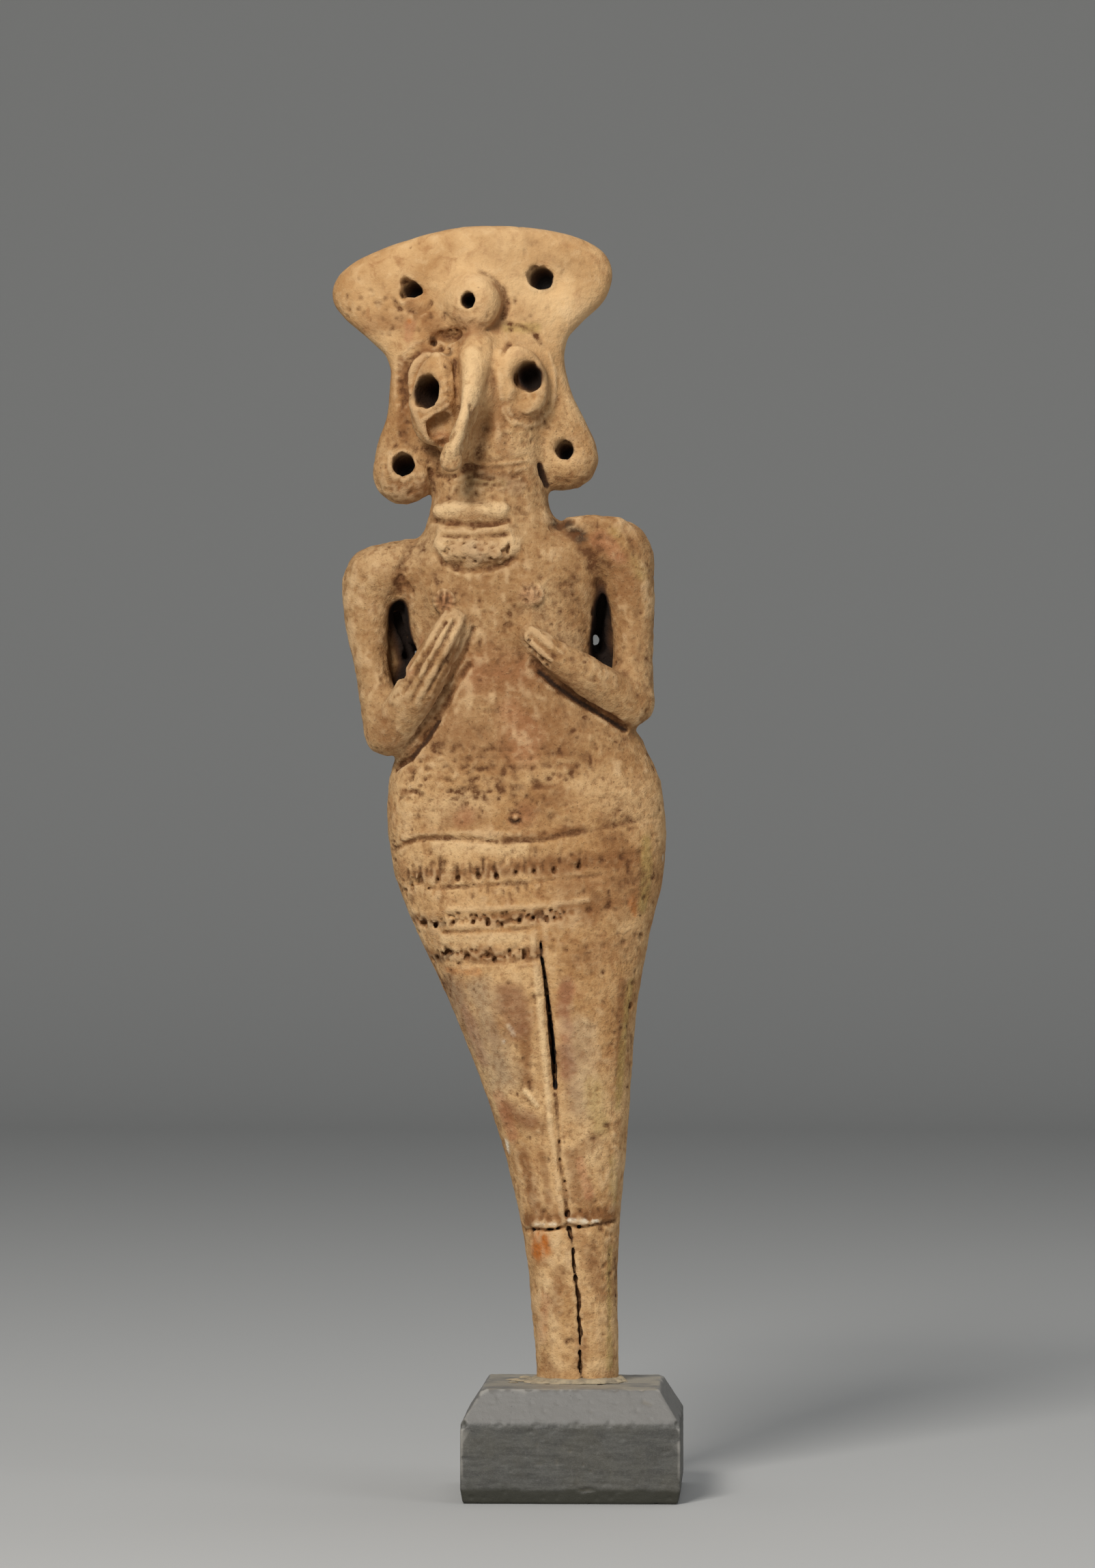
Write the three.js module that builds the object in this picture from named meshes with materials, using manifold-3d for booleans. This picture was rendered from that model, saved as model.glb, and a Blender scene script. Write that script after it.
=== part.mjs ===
// A hand-modelled terracotta figurine of a standing woman, mounted on a small bevelled block.
// The flat head spreads into a pierced fan above and two pierced ears below. A pinched beak, two
// ring eyes and a forehead knob sit on it. The hands are held to the breasts, incised belts cross
// the hips, and a slit parts the legs.
//
// Millimetres, +Z up, the figure's front faces -Y. The origin is the middle of the block's underside.
// The figurine is a free form, so its outline and carving are shares of its own height, in per cent:
// x from the block's middle, y from the figure's flat middle, z from the soles.

import * as THREE from 'three';
import { mergeVertices } from 'three/addons/utils/BufferGeometryUtils.js';
import Module from 'manifold-3d';

const wasm = await Module();
wasm.setup();

// Driving dimensions
const FIGURE_HEIGHT = 160;        // soles to the crest of the fan
const PLINTH_WIDTH = 30;
const PLINTH_DEPTH = 29;
const PLINTH_HEIGHT = 15.4;
const TOP_BEVEL_HEIGHT = 4.6;     // the sloping shoulder round the top
const TOP_BEVEL_INSET = 2.9;
const FOOT_BEVEL_HEIGHT = 2;      // the undercut round the bottom
const FOOT_BEVEL_INSET = 0.35;
const FEET_SET_BACK = 1.6;        // the feet stand this far behind the block's middle
const PUTTY_HEIGHT = 0.8;
const PUTTY_GAP = 0.3;            // between the putty and the clay
const PUTTY_SPREAD = 1.3;         // how far the putty reaches out, in front and behind
const PUTTY_SMEAR = 3.4;          // further reach on the figure's right, where it was smeared
const CREST_HOLE_RADIUS = 1.35;   // the two holes in the fan
const EAR_HOLE_RADIUS = 1.15;
const KNOB_HOLE_RADIUS = 0.9;
const KNOB_HOLE_DEPTH = 4.2;
const PUPIL_RADIUS = 1.75;
const PUPIL_DEPTH = 4.6;
const PUNCH_RADIUS = 0.48;        // the pricked rows on the belts
const PUNCH_DEPTH = 0.9;
const SCORE_RADIUS = 0.5;         // the incised lines on the belts
const FINGER_GROOVE_RADIUS = 0.35;
const CUTTER_CLEAR = 1;           // how far a cutter starts outside the skin

const share = (perCent) => (perCent * FIGURE_HEIGHT) / 100;
const inShares = (rows) => rows.map((row) => row.map(share));
const point = (x, y, z) => new THREE.Vector3(share(x), share(y), share(z));

// Solids

// A closed skin over a stack of rings with equally many points, each end closed by a fan.
function loft(rings) {
  const sides = rings[0].length;
  const points = rings.flat();
  const faces = [];
  for (let r = 0; r + 1 < rings.length; r++) {
    for (let s = 0; s < sides; s++) {
      const here = r * sides + s;
      const next = r * sides + ((s + 1) % sides);
      faces.push(here, next, next + sides, here, next + sides, here + sides);
    }
  }
  const last = (rings.length - 1) * sides;
  for (let s = 1; s + 1 < sides; s++) {
    faces.push(0, s + 1, s, last, last + s, last + s + 1);
  }
  const geometry = new THREE.BufferGeometry().setFromPoints(points);
  geometry.setIndex(faces);
  return geometry;
}

function solid(geometry) {
  const bare = geometry.clone();
  bare.deleteAttribute('normal');
  bare.deleteAttribute('uv');
  const merged = mergeVertices(bare, 1e-4);
  return new wasm.Manifold(new wasm.Mesh({
    numProp: 3,
    vertProperties: merged.attributes.position.array,
    triVerts: new Uint32Array(merged.index.array),
  }));
}

const joined = (geometries) => geometries.map(solid).reduce((whole, piece) => whole.add(piece));

function geometryOf(body) {
  const mesh = body.getMesh();
  const geometry = new THREE.BufferGeometry();
  geometry.setAttribute('position', new THREE.BufferAttribute(mesh.vertProperties, 3));
  geometry.setIndex(new THREE.BufferAttribute(mesh.triVerts, 1));
  geometry.computeVertexNormals();
  return geometry;
}

// The values between a form's stations, smoothly, by the first value of each row.
function between(stations) {
  const spline = new THREE.CubicInterpolant(
    stations.map((row) => row[0]),
    stations.flatMap((row) => row.slice(1)),
    stations[0].length - 1,
  );
  return (height) => [...spline.evaluate(height)];
}

// Every station's height, with steps between two of them where they stand further apart than asked.
function levels(stations, spacing) {
  const heights = [];
  for (let i = 0; i + 1 < stations.length; i++) {
    const [low, high] = [stations[i][0], stations[i + 1][0]];
    const steps = Math.ceil((high - low) / spacing);
    for (let s = 0; s < steps; s++) {
      heights.push(THREE.MathUtils.lerp(low, high, s / steps));
    }
  }
  return [...heights, stations.at(-1)[0]];
}

const signedPower = (value, power) => Math.sign(value) * Math.abs(value) ** power;

// One level section: a rounded oblong, squarer as its squareness rises above 2.
function section(height, [centre, width, front, back], squareness, sides) {
  return Array.from({ length: sides }, (_, s) => {
    const turn = (2 * Math.PI * s) / sides;
    const across = signedPower(Math.cos(turn), 2 / squareness);
    const through = signedPower(Math.sin(turn), 2 / squareness);
    const depth = through < 0 ? front : back;
    return new THREE.Vector3(centre + (across * width) / 2, through * depth, height);
  });
}

function standing(stations, squareness, sides, spacing) {
  const at = between(stations);
  return loft(levels(stations, spacing).map((z) => section(z, at(z), squareness, sides)));
}

// A limb or a roll of clay along a line, with round ends. Each knot is a point, a half width seen
// from the front, and a half depth.
function roll(knots, { sides = 10, steps = 2, domes = 2 } = {}) {
  const line = new THREE.CatmullRomCurve3(knots.map((k) => k.at), false, 'centripetal');
  const count = (knots.length - 1) * steps;
  const size = between(knots.map((k, i) => [i / (knots.length - 1), k.width, k.depth]));
  const ringAt = (t, shift, shrink) => {
    const along = line.getTangent(t);
    const out = new THREE.Vector3(0, 1, 0).addScaledVector(along, -along.y).normalize();
    const side = new THREE.Vector3().crossVectors(out, along);
    const [width, depth] = size(t);
    const middle = line.getPoint(t).addScaledVector(along, shift * Math.min(width, depth));
    return Array.from({ length: sides }, (_, s) => {
      const turn = (2 * Math.PI * s) / sides;
      return middle.clone()
        .addScaledVector(side, Math.cos(turn) * width * shrink)
        .addScaledVector(out, Math.sin(turn) * depth * shrink);
    });
  };
  const dome = Array.from({ length: domes }, (_, d) => (Math.PI / 2) * ((d + 0.35) / domes));
  return loft([
    ...dome.map((a) => ringAt(0, -Math.cos(a), Math.sin(a))),
    ...Array.from({ length: count + 1 }, (_, i) => ringAt(i / count, 0, 1)),
    ...dome.map((a) => ringAt(1, Math.cos(a), Math.sin(a))).reverse(),
  ]);
}

// Turns a form made along +Y so that it faces a direction, and puts it in its place.
function facing(geometry, direction, place) {
  const turn = new THREE.Quaternion().setFromUnitVectors(
    new THREE.Vector3(0, 1, 0), direction.clone().normalize());
  return geometry.applyQuaternion(turn).translate(place.x, place.y, place.z);
}

// A pressed-on button of clay: a flattened ball, with its own width, height and thickness.
function pellet(place, direction, [width, height, thickness], sides = 12) {
  const ball = new THREE.SphereGeometry(1, sides, Math.round(sides * 0.6));
  ball.scale(share(width), share(thickness), share(height));
  return facing(ball, direction, place);
}

// A slightly tapering hole from outside the skin inwards.
function hole(place, direction, radius, depth, { stretch = 1, sides = 8 } = {}) {
  const length = depth + CUTTER_CLEAR;
  const drill = new THREE.CylinderGeometry(radius * 1.06, radius * 0.8, length, sides);
  drill.scale(1, 1, stretch);
  drill.translate(0, CUTTER_CLEAR - length / 2, 0);
  return facing(drill, direction, place);
}

// Body: neck, trunk, hips and closed legs in one tapering form that leans to the figure's right.
// Rows are height, centre, width, front and back.
const BODY_SQUARENESS = 2.35;
const BODY = inShares([
  [0, 0.4, 6.9, 3.1, 2.9],          // soles
  [8.4, 0, 7.5, 3.3, 3.1],
  [13.2, -0.25, 8.3, 3.5, 3.3],     // mended break
  [22.6, -1.06, 11.6, 4.0, 3.8],    // knees
  [32, -2.5, 15.9, 4.6, 4.6],       // thighs
  [39.1, -3.5, 20.4, 5.0, 5.4],
  [43.8, -3.85, 23.5, 5.1, 5.8],    // seat
  [47.4, -4.05, 24.3, 5.1, 5.5],    // widest hips
  [51.5, -4.2, 23.9, 5.0, 4.8],
  [55.6, -4.55, 21.0, 4.6, 4.0],
  [58.6, -5.3, 17.8, 4.3, 3.6],
  [62.7, -6.2, 15.9, 4.2, 3.4],     // waist, behind the forearms
  [66.8, -6.3, 16.7, 4.3, 3.4],     // breasts
  [69.8, -6.1, 18.0, 4.2, 3.4],
  [71.6, -6.2, 16.5, 4.0, 3.3],
  [73.3, -6.9, 12.3, 3.8, 3.2],     // foot of the neck
  [75.4, -7.2, 10.4, 3.5, 3.1],
  [78.1, -7.2, 9.4, 3.5, 3.0],      // throat
  [81.6, -7.7, 10.2, 4.0, 2.8],
  [85.1, -7.9, 11.0, 4.1, 2.6],     // cheeks
  [88.7, -8.0, 9.5, 3.5, 2.3],
  [91, -8.2, 5.0, 2.4, 1.5],        // brow, inside the fan
]);
const bodyAt = between(BODY);

// The point of the body's front skin at a height; across runs from -1 to 1 between the sides.
function skin(across, height) {
  const [centre, width, front] = bodyAt(height);
  const rise = (1 - Math.abs(across) ** BODY_SQUARENESS) ** (1 / BODY_SQUARENESS);
  return new THREE.Vector3(centre + (across * width) / 2, -front * rise, height);
}

function skinUnder(x, z) {
  const [centre, width] = bodyAt(share(z));
  return skin((share(x) - centre) / (width / 2), share(z));
}

// Head: a flat plate, widest as a fan above and again at the ears, swept back at both sides.
const HEAD_SQUARENESS = 4.5;
const HEAD_SWEEP = share(1.3);
const HEAD = inShares([
  [77.1, -7.9, 16.0, 0.7, 0.9],
  [78.0, -7.8, 18.6, 1.5, 1.6],     // foot of the ears
  [79.6, -7.6, 19.5, 1.8, 1.8],
  [81.2, -7.6, 18.9, 1.9, 1.9],
  [83.2, -7.7, 17.2, 2.0, 2.0],
  [85.4, -8.1, 15.8, 2.0, 2.1],
  [87.4, -8.3, 15.1, 2.0, 2.1],     // narrowest, beside the eyes
  [88.8, -8.6, 15.4, 2.0, 2.1],
  [90.4, -9.3, 17.5, 1.9, 2.1],
  [92.0, -9.5, 20.9, 1.8, 2.1],
  [93.4, -9.25, 23.6, 1.7, 2.1],
  [94.7, -8.95, 24.3, 1.6, 2.1],     // tips of the fan
  [96.0, -8.45, 23.7, 1.5, 2.1],
  [97.2, -7.75, 21.6, 1.3, 2.0],
  [98.3, -6.95, 17.6, 1.1, 1.9],
  [99.2, -6.7, 12.4, 0.8, 1.7],
  [99.8, -6.9, 7.0, 0.4, 1.4],
  [100, -7.0, 3.0, 0.1, 1.0],       // crest
]);

function headPlate() {
  const plate = standing(HEAD, HEAD_SQUARENESS, 24, share(2.1));
  const vertices = plate.getAttribute('position');
  const middle = share(-8.4);
  const reach = share(12);
  for (let i = 0; i < vertices.count; i++) {
    const swept = HEAD_SWEEP * ((vertices.getX(i) - middle) / reach) ** 2;
    vertices.setY(i, vertices.getY(i) + swept);
  }
  return plate;
}

// The beak: upright sections drawn out from the face towards a ridge that turns to the figure's
// right as it stands out. Rows are height, ridge x, ridge y and half thickness.
const BEAK = inShares([
  [79.3, -10.7, -7.0, 0.75],        // tip
  [80.2, -10.4, -8.4, 1.05],
  [81.6, -9.9, -8.3, 1.0],
  [83.6, -9.0, -7.6, 0.9],
  [86.0, -8.5, -6.5, 1.1],
  [88.2, -8.4, -5.4, 1.45],
  [90.3, -8.6, -4.1, 1.5],          // root, under the knob
]);
const BEAK_ROOT = { x: share(-8.1), y: share(-1.6) };

function beak() {
  const at = between(BEAK);
  const sides = 12;
  return loft(levels(BEAK, share(3)).map((z) => {
    const [x, y, thickness] = at(z);
    const out = new THREE.Vector2(x - BEAK_ROOT.x, y - BEAK_ROOT.y);
    const reach = out.length() / 2;
    const turned = out.angle();
    return Array.from({ length: sides }, (_, s) => {
      const turn = (2 * Math.PI * s) / sides;
      const spot = new THREE.Vector2(Math.cos(turn) * reach, Math.sin(turn) * thickness)
        .rotateAround(new THREE.Vector2(), turned);
      return new THREE.Vector3(
        (x + BEAK_ROOT.x) / 2 + spot.x, (y + BEAK_ROOT.y) / 2 + spot.y, z);
    });
  }));
}

const KNOB = { place: point(-8.6, -2.6, 93.2), looks: new THREE.Vector3(-0.25, -1, 0.06) };
const RIGHT_EYE = { place: point(-11.9, -3.7, 84.7), looks: new THREE.Vector3(-0.32, -1, 0.02) };
const LEFT_EYE = { place: point(-4.15, -3.3, 86.4), looks: new THREE.Vector3(0.34, -1, 0.05) };

const headForms = () => [
  headPlate(),
  beak(),
  pellet(KNOB.place, KNOB.looks, [2.6, 2.5, 1.9], 14),
  pellet(RIGHT_EYE.place, RIGHT_EYE.looks, [2.15, 4.1, 1.5], 14),
  pellet(LEFT_EYE.place, LEFT_EYE.looks, [2.5, 3.4, 1.2], 14),
  pellet(point(-14.7, -0.5, 78.5), new THREE.Vector3(-0.15, -1, -0.1), [2.75, 2.85, 2.2]),
  pellet(point(-0.7, 0.2, 79.6), new THREE.Vector3(0.1, -1, 0), [2.7, 2.4, 1.7]),
];

// Pierced slantwise, so nothing shows through them from the front.
const CREST_SLANT = new THREE.Vector3(-0.34, -1, 0.34);
const EAR_SLANT = new THREE.Vector3(-0.3, -1, 0.38);
const THROUGH = share(7);

const headHoles = () => [
  hole(point(-14.0, -2.4, 94.45), CREST_SLANT, CREST_HOLE_RADIUS, THROUGH),
  hole(point(-2.95, -2.4, 95.5), CREST_SLANT, CREST_HOLE_RADIUS * 1.18, THROUGH),
  hole(point(-14.75, -2.9, 79.3), EAR_SLANT, EAR_HOLE_RADIUS, THROUGH),
  hole(point(-0.85, -1.6, 80.7), EAR_SLANT, EAR_HOLE_RADIUS, THROUGH),
  hole(point(-9.15, -4.5, 93.4), KNOB.looks, KNOB_HOLE_RADIUS, KNOB_HOLE_DEPTH),
  hole(point(-12.6, -4.9, 85.55), RIGHT_EYE.looks, PUPIL_RADIUS, PUPIL_DEPTH, { stretch: 1.25 }),
  hole(point(-3.85, -4.4, 86.55), LEFT_EYE.looks, PUPIL_RADIUS, PUPIL_DEPTH, { stretch: 1.3 }),
];

// The second, shallow dent in the figure's right eye.
const eyeScoop = () => pellet(point(-11.45, -5.3, 82.6), RIGHT_EYE.looks, [1.25, 1.65, 0.95], 10);

// Arms: shoulder, upper arm and forearm, each a roll of clay. Knots are x, y, z, half width, depth.
const knots = (rows) => rows.map(([x, y, z, width, depth]) => ({
  at: point(x, y, z), width: share(width), depth: share(depth),
}));

const RIGHT_ARM = [
  knots([[-10.6, 0, 70.0, 2.8, 2.6], [-14.1, -0.1, 70.3, 2.65, 2.6], [-17.4, -0.2, 69.5, 2.75, 2.6]]),
  knots([[-17.6, -0.2, 69.0, 2.5, 2.4], [-17.9, -0.4, 66.2, 2.05, 2.1], [-17.35, -0.9, 61.5, 1.5, 1.9],
    [-16.4, -1.6, 57.4, 1.9, 2.0], [-15.9, -2.0, 55.9, 2.15, 2.0]]),
  knots([[-15.8, -2.2, 55.9, 2.1, 1.9], [-13.1, -4.2, 60.0, 1.9, 1.8], [-11.3, -4.9, 63.7, 1.5, 1.3],
    [-10.0, -4.7, 66.1, 1.35, 0.75]]),
];
const LEFT_ARM = [
  knots([[-2.6, 0, 71.4, 2.8, 2.6], [1.2, -0.1, 71.9, 2.75, 2.7], [4.2, -0.2, 71.5, 2.95, 2.7]]),
  knots([[4.4, -0.2, 71.0, 2.65, 2.6], [5.05, -0.4, 66.4, 2.0, 2.1], [5.1, -0.9, 62.7, 1.8, 1.9],
    [4.95, -1.8, 58.4, 2.15, 2.0]]),
  knots([[4.9, -2.0, 58.2, 2.2, 1.9], [1.2, -4.2, 60.9, 1.85, 1.8], [-1.5, -4.9, 62.7, 1.4, 1.3],
    [-3.9, -4.7, 64.7, 0.95, 0.75]]),
];

// The clay left behind each armpit, which closes all but a small window beside the trunk.
const armWebs = () => [
  pellet(point(-15.1, 1.5, 62.8), new THREE.Vector3(0, -1, 0), [2.3, 6.4, 1.1], 10),
  pellet(point(3.1, 1.5, 64.0), new THREE.Vector3(0, -1, 0), [2.3, 6.0, 1.1], 10),
];
const webWindows = () => [
  hole(point(-13.75, -1, 63.0), new THREE.Vector3(0, -1, 0), 0.7, THROUGH, { stretch: 2 }),
  hole(point(1.95, -1, 64.2), new THREE.Vector3(0, -1, 0), 0.75, THROUGH, { stretch: 1.6 }),
];

// Three rolls of a choker across the front of the neck, broken off on the figure's left.
function choker() {
  const band = ({ height, from, to, thickness }) => {
    const spots = [from, (from + to) / 2, to].map((x, i) => {
      const sag = i === 1 ? share(0.35) : 0;
      const spot = skinUnder(x, height);
      return { at: spot.setZ(spot.z - sag), width: share(thickness), depth: share(thickness * 0.9) };
    });
    return roll(spots, { sides: 6 });
  };
  return [
    { height: 75.1, from: -11.4, to: -6.2, thickness: 0.75 },
    { height: 73.3, from: -11.2, to: -5.6, thickness: 0.8 },
    { height: 71.9, from: -10.8, to: -5.9, thickness: 0.75 },
  ].map(band);
}

const frontwards = new THREE.Vector3(0, -1, 0);
const appliedButtons = () => [
  pellet(skinUnder(-11.2, 67.6), frontwards, [1.3, 1.4, 0.55], 10),
  pellet(skinUnder(-3.7, 68.1), frontwards, [1.3, 1.3, 0.5], 10),
  pellet(skinUnder(-5.0, 48.7), frontwards, [0.55, 0.6, 0.4], 8),
];

// Cuts in the clay

// The slit between the legs. Rows are height, x, width and depth; it goes in from the front or back.
const FRONT_SLIT = inShares([
  [-0.6, 0.5, 0.24, 0.9],
  [4.8, 0.47, 0.28, 1.0],
  [8.9, 0.18, 0.32, 1.0],
  [13.3, -0.47, 0.28, 0.8],
  [16.7, -0.77, 0.22, 0.5],
  [20.6, -1.24, 0.2, 0.4],
  [24.6, -1.6, 0.3, 0.6],
  [26.5, -1.7, 0.55, 1.7],
  [31.0, -2.0, 0.6, 1.9],
  [35.4, -2.45, 0.4, 1.4],
  [38.4, -2.9, 0.12, 0.5],
]);
const BACK_SLIT = inShares([
  [-0.6, 0.5, 0.3, 0.8],
  [13.3, -0.3, 0.3, 0.7],
  [26.5, -1.7, 0.4, 0.9],
  [38, -3.2, 0.6, 1.3],
  [47, -4.0, 0.2, 0.4],
]);

function slit(stations, side) {
  const at = between(stations);
  return loft(levels(stations, share(6)).map((z) => {
    const [x, width, depth] = at(z);
    const [, , front, back] = bodyAt(Math.max(z, 0));
    const surface = side < 0 ? front : back;
    const outer = side * (surface + CUTTER_CLEAR);
    const inner = side * (surface - depth);
    const corners = [
      new THREE.Vector3(x - width / 2, outer, z),
      new THREE.Vector3(x + width / 2, outer, z),
      new THREE.Vector3(x + width / 6, inner, z),
      new THREE.Vector3(x - width / 6, inner, z),
    ];
    return side < 0 ? corners : corners.reverse();
  }));
}

// Belts: each runs round the front of the hips, from the height on the figure's right to its left.
const BELT_REACH = THREE.MathUtils.degToRad(76);
function beltPoint(belt, t) {
  const across = Math.sin(THREE.MathUtils.lerp(-BELT_REACH, BELT_REACH, t));
  return skin(across, share(THREE.MathUtils.lerp(belt.from, belt.to, t)));
}

const SCORED_BELTS = [{ from: 46.1, to: 48.6 }, { from: 42.2, to: 44.4 }];
const PRICKED_BELTS = [
  { from: 43.2, to: 45.3, count: 12 },
  { from: 39.2, to: 41.2, count: 12 },
  { from: 36.7, to: 38.4, count: 10 },
];

const scoredBelts = () => SCORED_BELTS.map((belt) => roll(
  Array.from({ length: 9 }, (_, i) => (
    { at: beltPoint(belt, i / 8), width: SCORE_RADIUS, depth: SCORE_RADIUS })),
  { sides: 4, steps: 1, domes: 1 },
));

const prickedBelts = () => PRICKED_BELTS.flatMap((belt) => (
  Array.from({ length: belt.count }, (_, i) => {
    const t = (i + 0.5) / belt.count;
    const angle = THREE.MathUtils.lerp(-BELT_REACH, BELT_REACH, t);
    const inwards = new THREE.Vector3(Math.sin(angle), -Math.cos(angle), 0);
    return hole(beltPoint(belt, t), inwards, PUNCH_RADIUS, PUNCH_DEPTH, { sides: 4 });
  })
));

// Finger grooves: each hand's fingers fan out from the wrist.
const HANDS = [
  { wrist: [-11.4, 63.9], tips: [[-11.3, 66.6], [-10.3, 67.0], [-9.4, 66.7]] },
  { wrist: [-1.7, 62.6], tips: [[-3.4, 65.2], [-4.1, 64.7], [-4.5, 64.1]] },
];
const FINGER_FACE = -5.75;
const FINGER_TIP_FACE = -5.1;

const fingerGrooves = () => HANDS.flatMap(({ wrist, tips }) => tips.map(([x, z]) => {
  const start = [THREE.MathUtils.lerp(wrist[0], x, 0.3), THREE.MathUtils.lerp(wrist[1], z, 0.3)];
  return roll([
    { at: point(start[0], FINGER_FACE - 0.2, start[1]), width: FINGER_GROOVE_RADIUS, depth: FINGER_GROOVE_RADIUS },
    { at: point(x, FINGER_TIP_FACE, z), width: FINGER_GROOVE_RADIUS, depth: FINGER_GROOVE_RADIUS },
  ], { sides: 4, steps: 1, domes: 1 });
}));

// Pieces

function figurine() {
  const clay = joined([
    standing(BODY, BODY_SQUARENESS, 24, share(4.2)),
    ...headForms(),
    ...[...RIGHT_ARM, ...LEFT_ARM].map((limb) => roll(limb)),
    ...armWebs(),
    ...choker(),
    ...appliedButtons(),
  ]);
  const cuts = joined([
    ...headHoles(),
    eyeScoop(),
    ...webWindows(),
    slit(FRONT_SLIT, -1),
    slit(BACK_SLIT, 1),
    ...scoredBelts(),
    ...prickedBelts(),
    ...fingerGrooves(),
  ]);
  const mesh = new THREE.Mesh(
    geometryOf(clay.subtract(cuts)),
    new THREE.MeshStandardMaterial({ color: 0xbf9468, roughness: 0.9, metalness: 0 }),
  );
  mesh.name = 'figurine';
  mesh.position.set(0, FEET_SET_BACK, PLINTH_HEIGHT);
  return mesh;
}

// A block with a sloping shoulder above and an undercut below.
function plinth() {
  const level = (inset, z) => {
    const x = PLINTH_WIDTH / 2 - inset;
    const y = PLINTH_DEPTH / 2 - inset;
    return [[-x, -y], [x, -y], [x, y], [-x, y]].map(([px, py]) => new THREE.Vector3(px, py, z));
  };
  const block = loft([
    level(FOOT_BEVEL_INSET, 0),
    level(0, FOOT_BEVEL_HEIGHT),
    level(0, PLINTH_HEIGHT - TOP_BEVEL_HEIGHT),
    level(TOP_BEVEL_INSET, PLINTH_HEIGHT),
  ]);
  const mesh = new THREE.Mesh(
    block, new THREE.MeshStandardMaterial({ color: 0x5b5c59, roughness: 0.6, metalness: 0 }));
  mesh.name = 'plinth';
  return mesh;
}

// A low collar of putty round the feet, smeared out on the figure's right.
function putty() {
  const sides = 28;
  const soles = section(0, bodyAt(0), BODY_SQUARENESS, sides);
  const centre = new THREE.Vector3(bodyAt(0)[0], 0, 0);
  const spreadBy = (spot, distance) => {
    const out = spot.clone().sub(centre).normalize();
    return spot.clone().addScaledVector(out, distance);
  };
  const reachAt = (spot) => {
    const rightness = Math.max(0, -spot.clone().sub(centre).normalize().x);
    return PUTTY_GAP + PUTTY_SPREAD + PUTTY_SMEAR * rightness ** 3;
  };
  const bands = [
    (spot) => spreadBy(spot, PUTTY_GAP),
    (spot) => spreadBy(spot, PUTTY_GAP).setZ(PUTTY_HEIGHT),
    (spot) => spreadBy(spot, PUTTY_GAP + PUTTY_SPREAD / 3).setZ(PUTTY_HEIGHT * 0.85),
    (spot) => spreadBy(spot, reachAt(spot) - PUTTY_SPREAD / 4).setZ(PUTTY_HEIGHT * 0.35),
    (spot) => spreadBy(spot, reachAt(spot)),
  ];
  const points = soles.flatMap((spot) => bands.map((band) => band(spot)));
  const faces = [];
  for (let s = 0; s < sides; s++) {
    for (let b = 0; b < bands.length; b++) {
      const here = s * bands.length + b;
      const up = s * bands.length + ((b + 1) % bands.length);
      const next = ((s + 1) % sides) * bands.length + b;
      const nextUp = ((s + 1) % sides) * bands.length + ((b + 1) % bands.length);
      faces.push(here, up, nextUp, here, nextUp, next);
    }
  }
  const collar = new THREE.BufferGeometry().setFromPoints(points);
  collar.setIndex(faces);
  const mesh = new THREE.Mesh(
    collar, new THREE.MeshStandardMaterial({ color: 0xc9b08a, roughness: 0.95, metalness: 0 }));
  mesh.name = 'foot_putty';
  mesh.position.set(0, FEET_SET_BACK, PLINTH_HEIGHT);
  return mesh;
}

const part = new THREE.Group();
part.add(figurine(), plinth(), putty());

export default part;
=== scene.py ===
"""A small terracotta figurine of a standing woman on its bevelled block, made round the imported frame.

Each piece starts from its frame solid, read as a grid of distances to the skin in millimetres. The
clay is softened there, then pressed, pricked and scored, and last it is skinned as a fine mesh.
A place on the figure's front is named by its pixel in the 1604 x 2296 photograph, and it lies where
the camera's line through that pixel meets the clay. Right and left are the figure's own.
"""

import math

import bpy
import numpy as np
import openvdb
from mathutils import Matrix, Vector


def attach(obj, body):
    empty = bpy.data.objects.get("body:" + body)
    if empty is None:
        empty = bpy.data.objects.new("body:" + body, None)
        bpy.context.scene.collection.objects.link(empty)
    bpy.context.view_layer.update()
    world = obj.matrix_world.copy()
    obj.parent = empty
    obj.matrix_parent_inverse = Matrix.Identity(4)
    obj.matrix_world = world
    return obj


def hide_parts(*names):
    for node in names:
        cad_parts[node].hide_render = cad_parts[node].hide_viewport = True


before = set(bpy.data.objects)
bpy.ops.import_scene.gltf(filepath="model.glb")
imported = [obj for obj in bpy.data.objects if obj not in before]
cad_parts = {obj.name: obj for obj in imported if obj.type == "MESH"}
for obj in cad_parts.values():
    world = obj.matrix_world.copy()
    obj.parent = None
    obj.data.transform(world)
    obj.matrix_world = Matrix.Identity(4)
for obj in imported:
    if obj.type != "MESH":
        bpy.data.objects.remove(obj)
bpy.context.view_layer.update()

METRES = 0.001

# The camera and the photograph's frame, in millimetres

PHOTO = (1604, 2296)
PIXEL = 0.0944                 # one photo pixel, at the figure's own distance
FOOT_PIXEL = (840, 2186)       # the middle of the block's underside
VIEW_DISTANCE = 900.0
VIEW_TURN = math.radians(2)
SENSOR = 36.0

AIM = np.array([(PHOTO[0] / 2 - FOOT_PIXEL[0]) * PIXEL, 0, (FOOT_PIXEL[1] - PHOTO[1] / 2) * PIXEL])
BACK = np.array([math.sin(VIEW_TURN), -math.cos(VIEW_TURN), 0])
SIDE = np.array([math.cos(VIEW_TURN), math.sin(VIEW_TURN), 0])
UP = np.array([0, 0, 1.0])
EYE = AIM + VIEW_DISTANCE * BACK


def unit(vector):
    vector = np.asarray(vector, float)
    return vector / np.linalg.norm(vector)


def sight(pixel):
    """The direction from the camera through a pixel of the photograph."""
    across = (pixel[0] - PHOTO[0] / 2) * PIXEL
    up = (PHOTO[1] / 2 - pixel[1]) * PIXEL
    return unit(across * SIDE + up * UP - VIEW_DISTANCE * BACK)


# Noise

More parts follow.
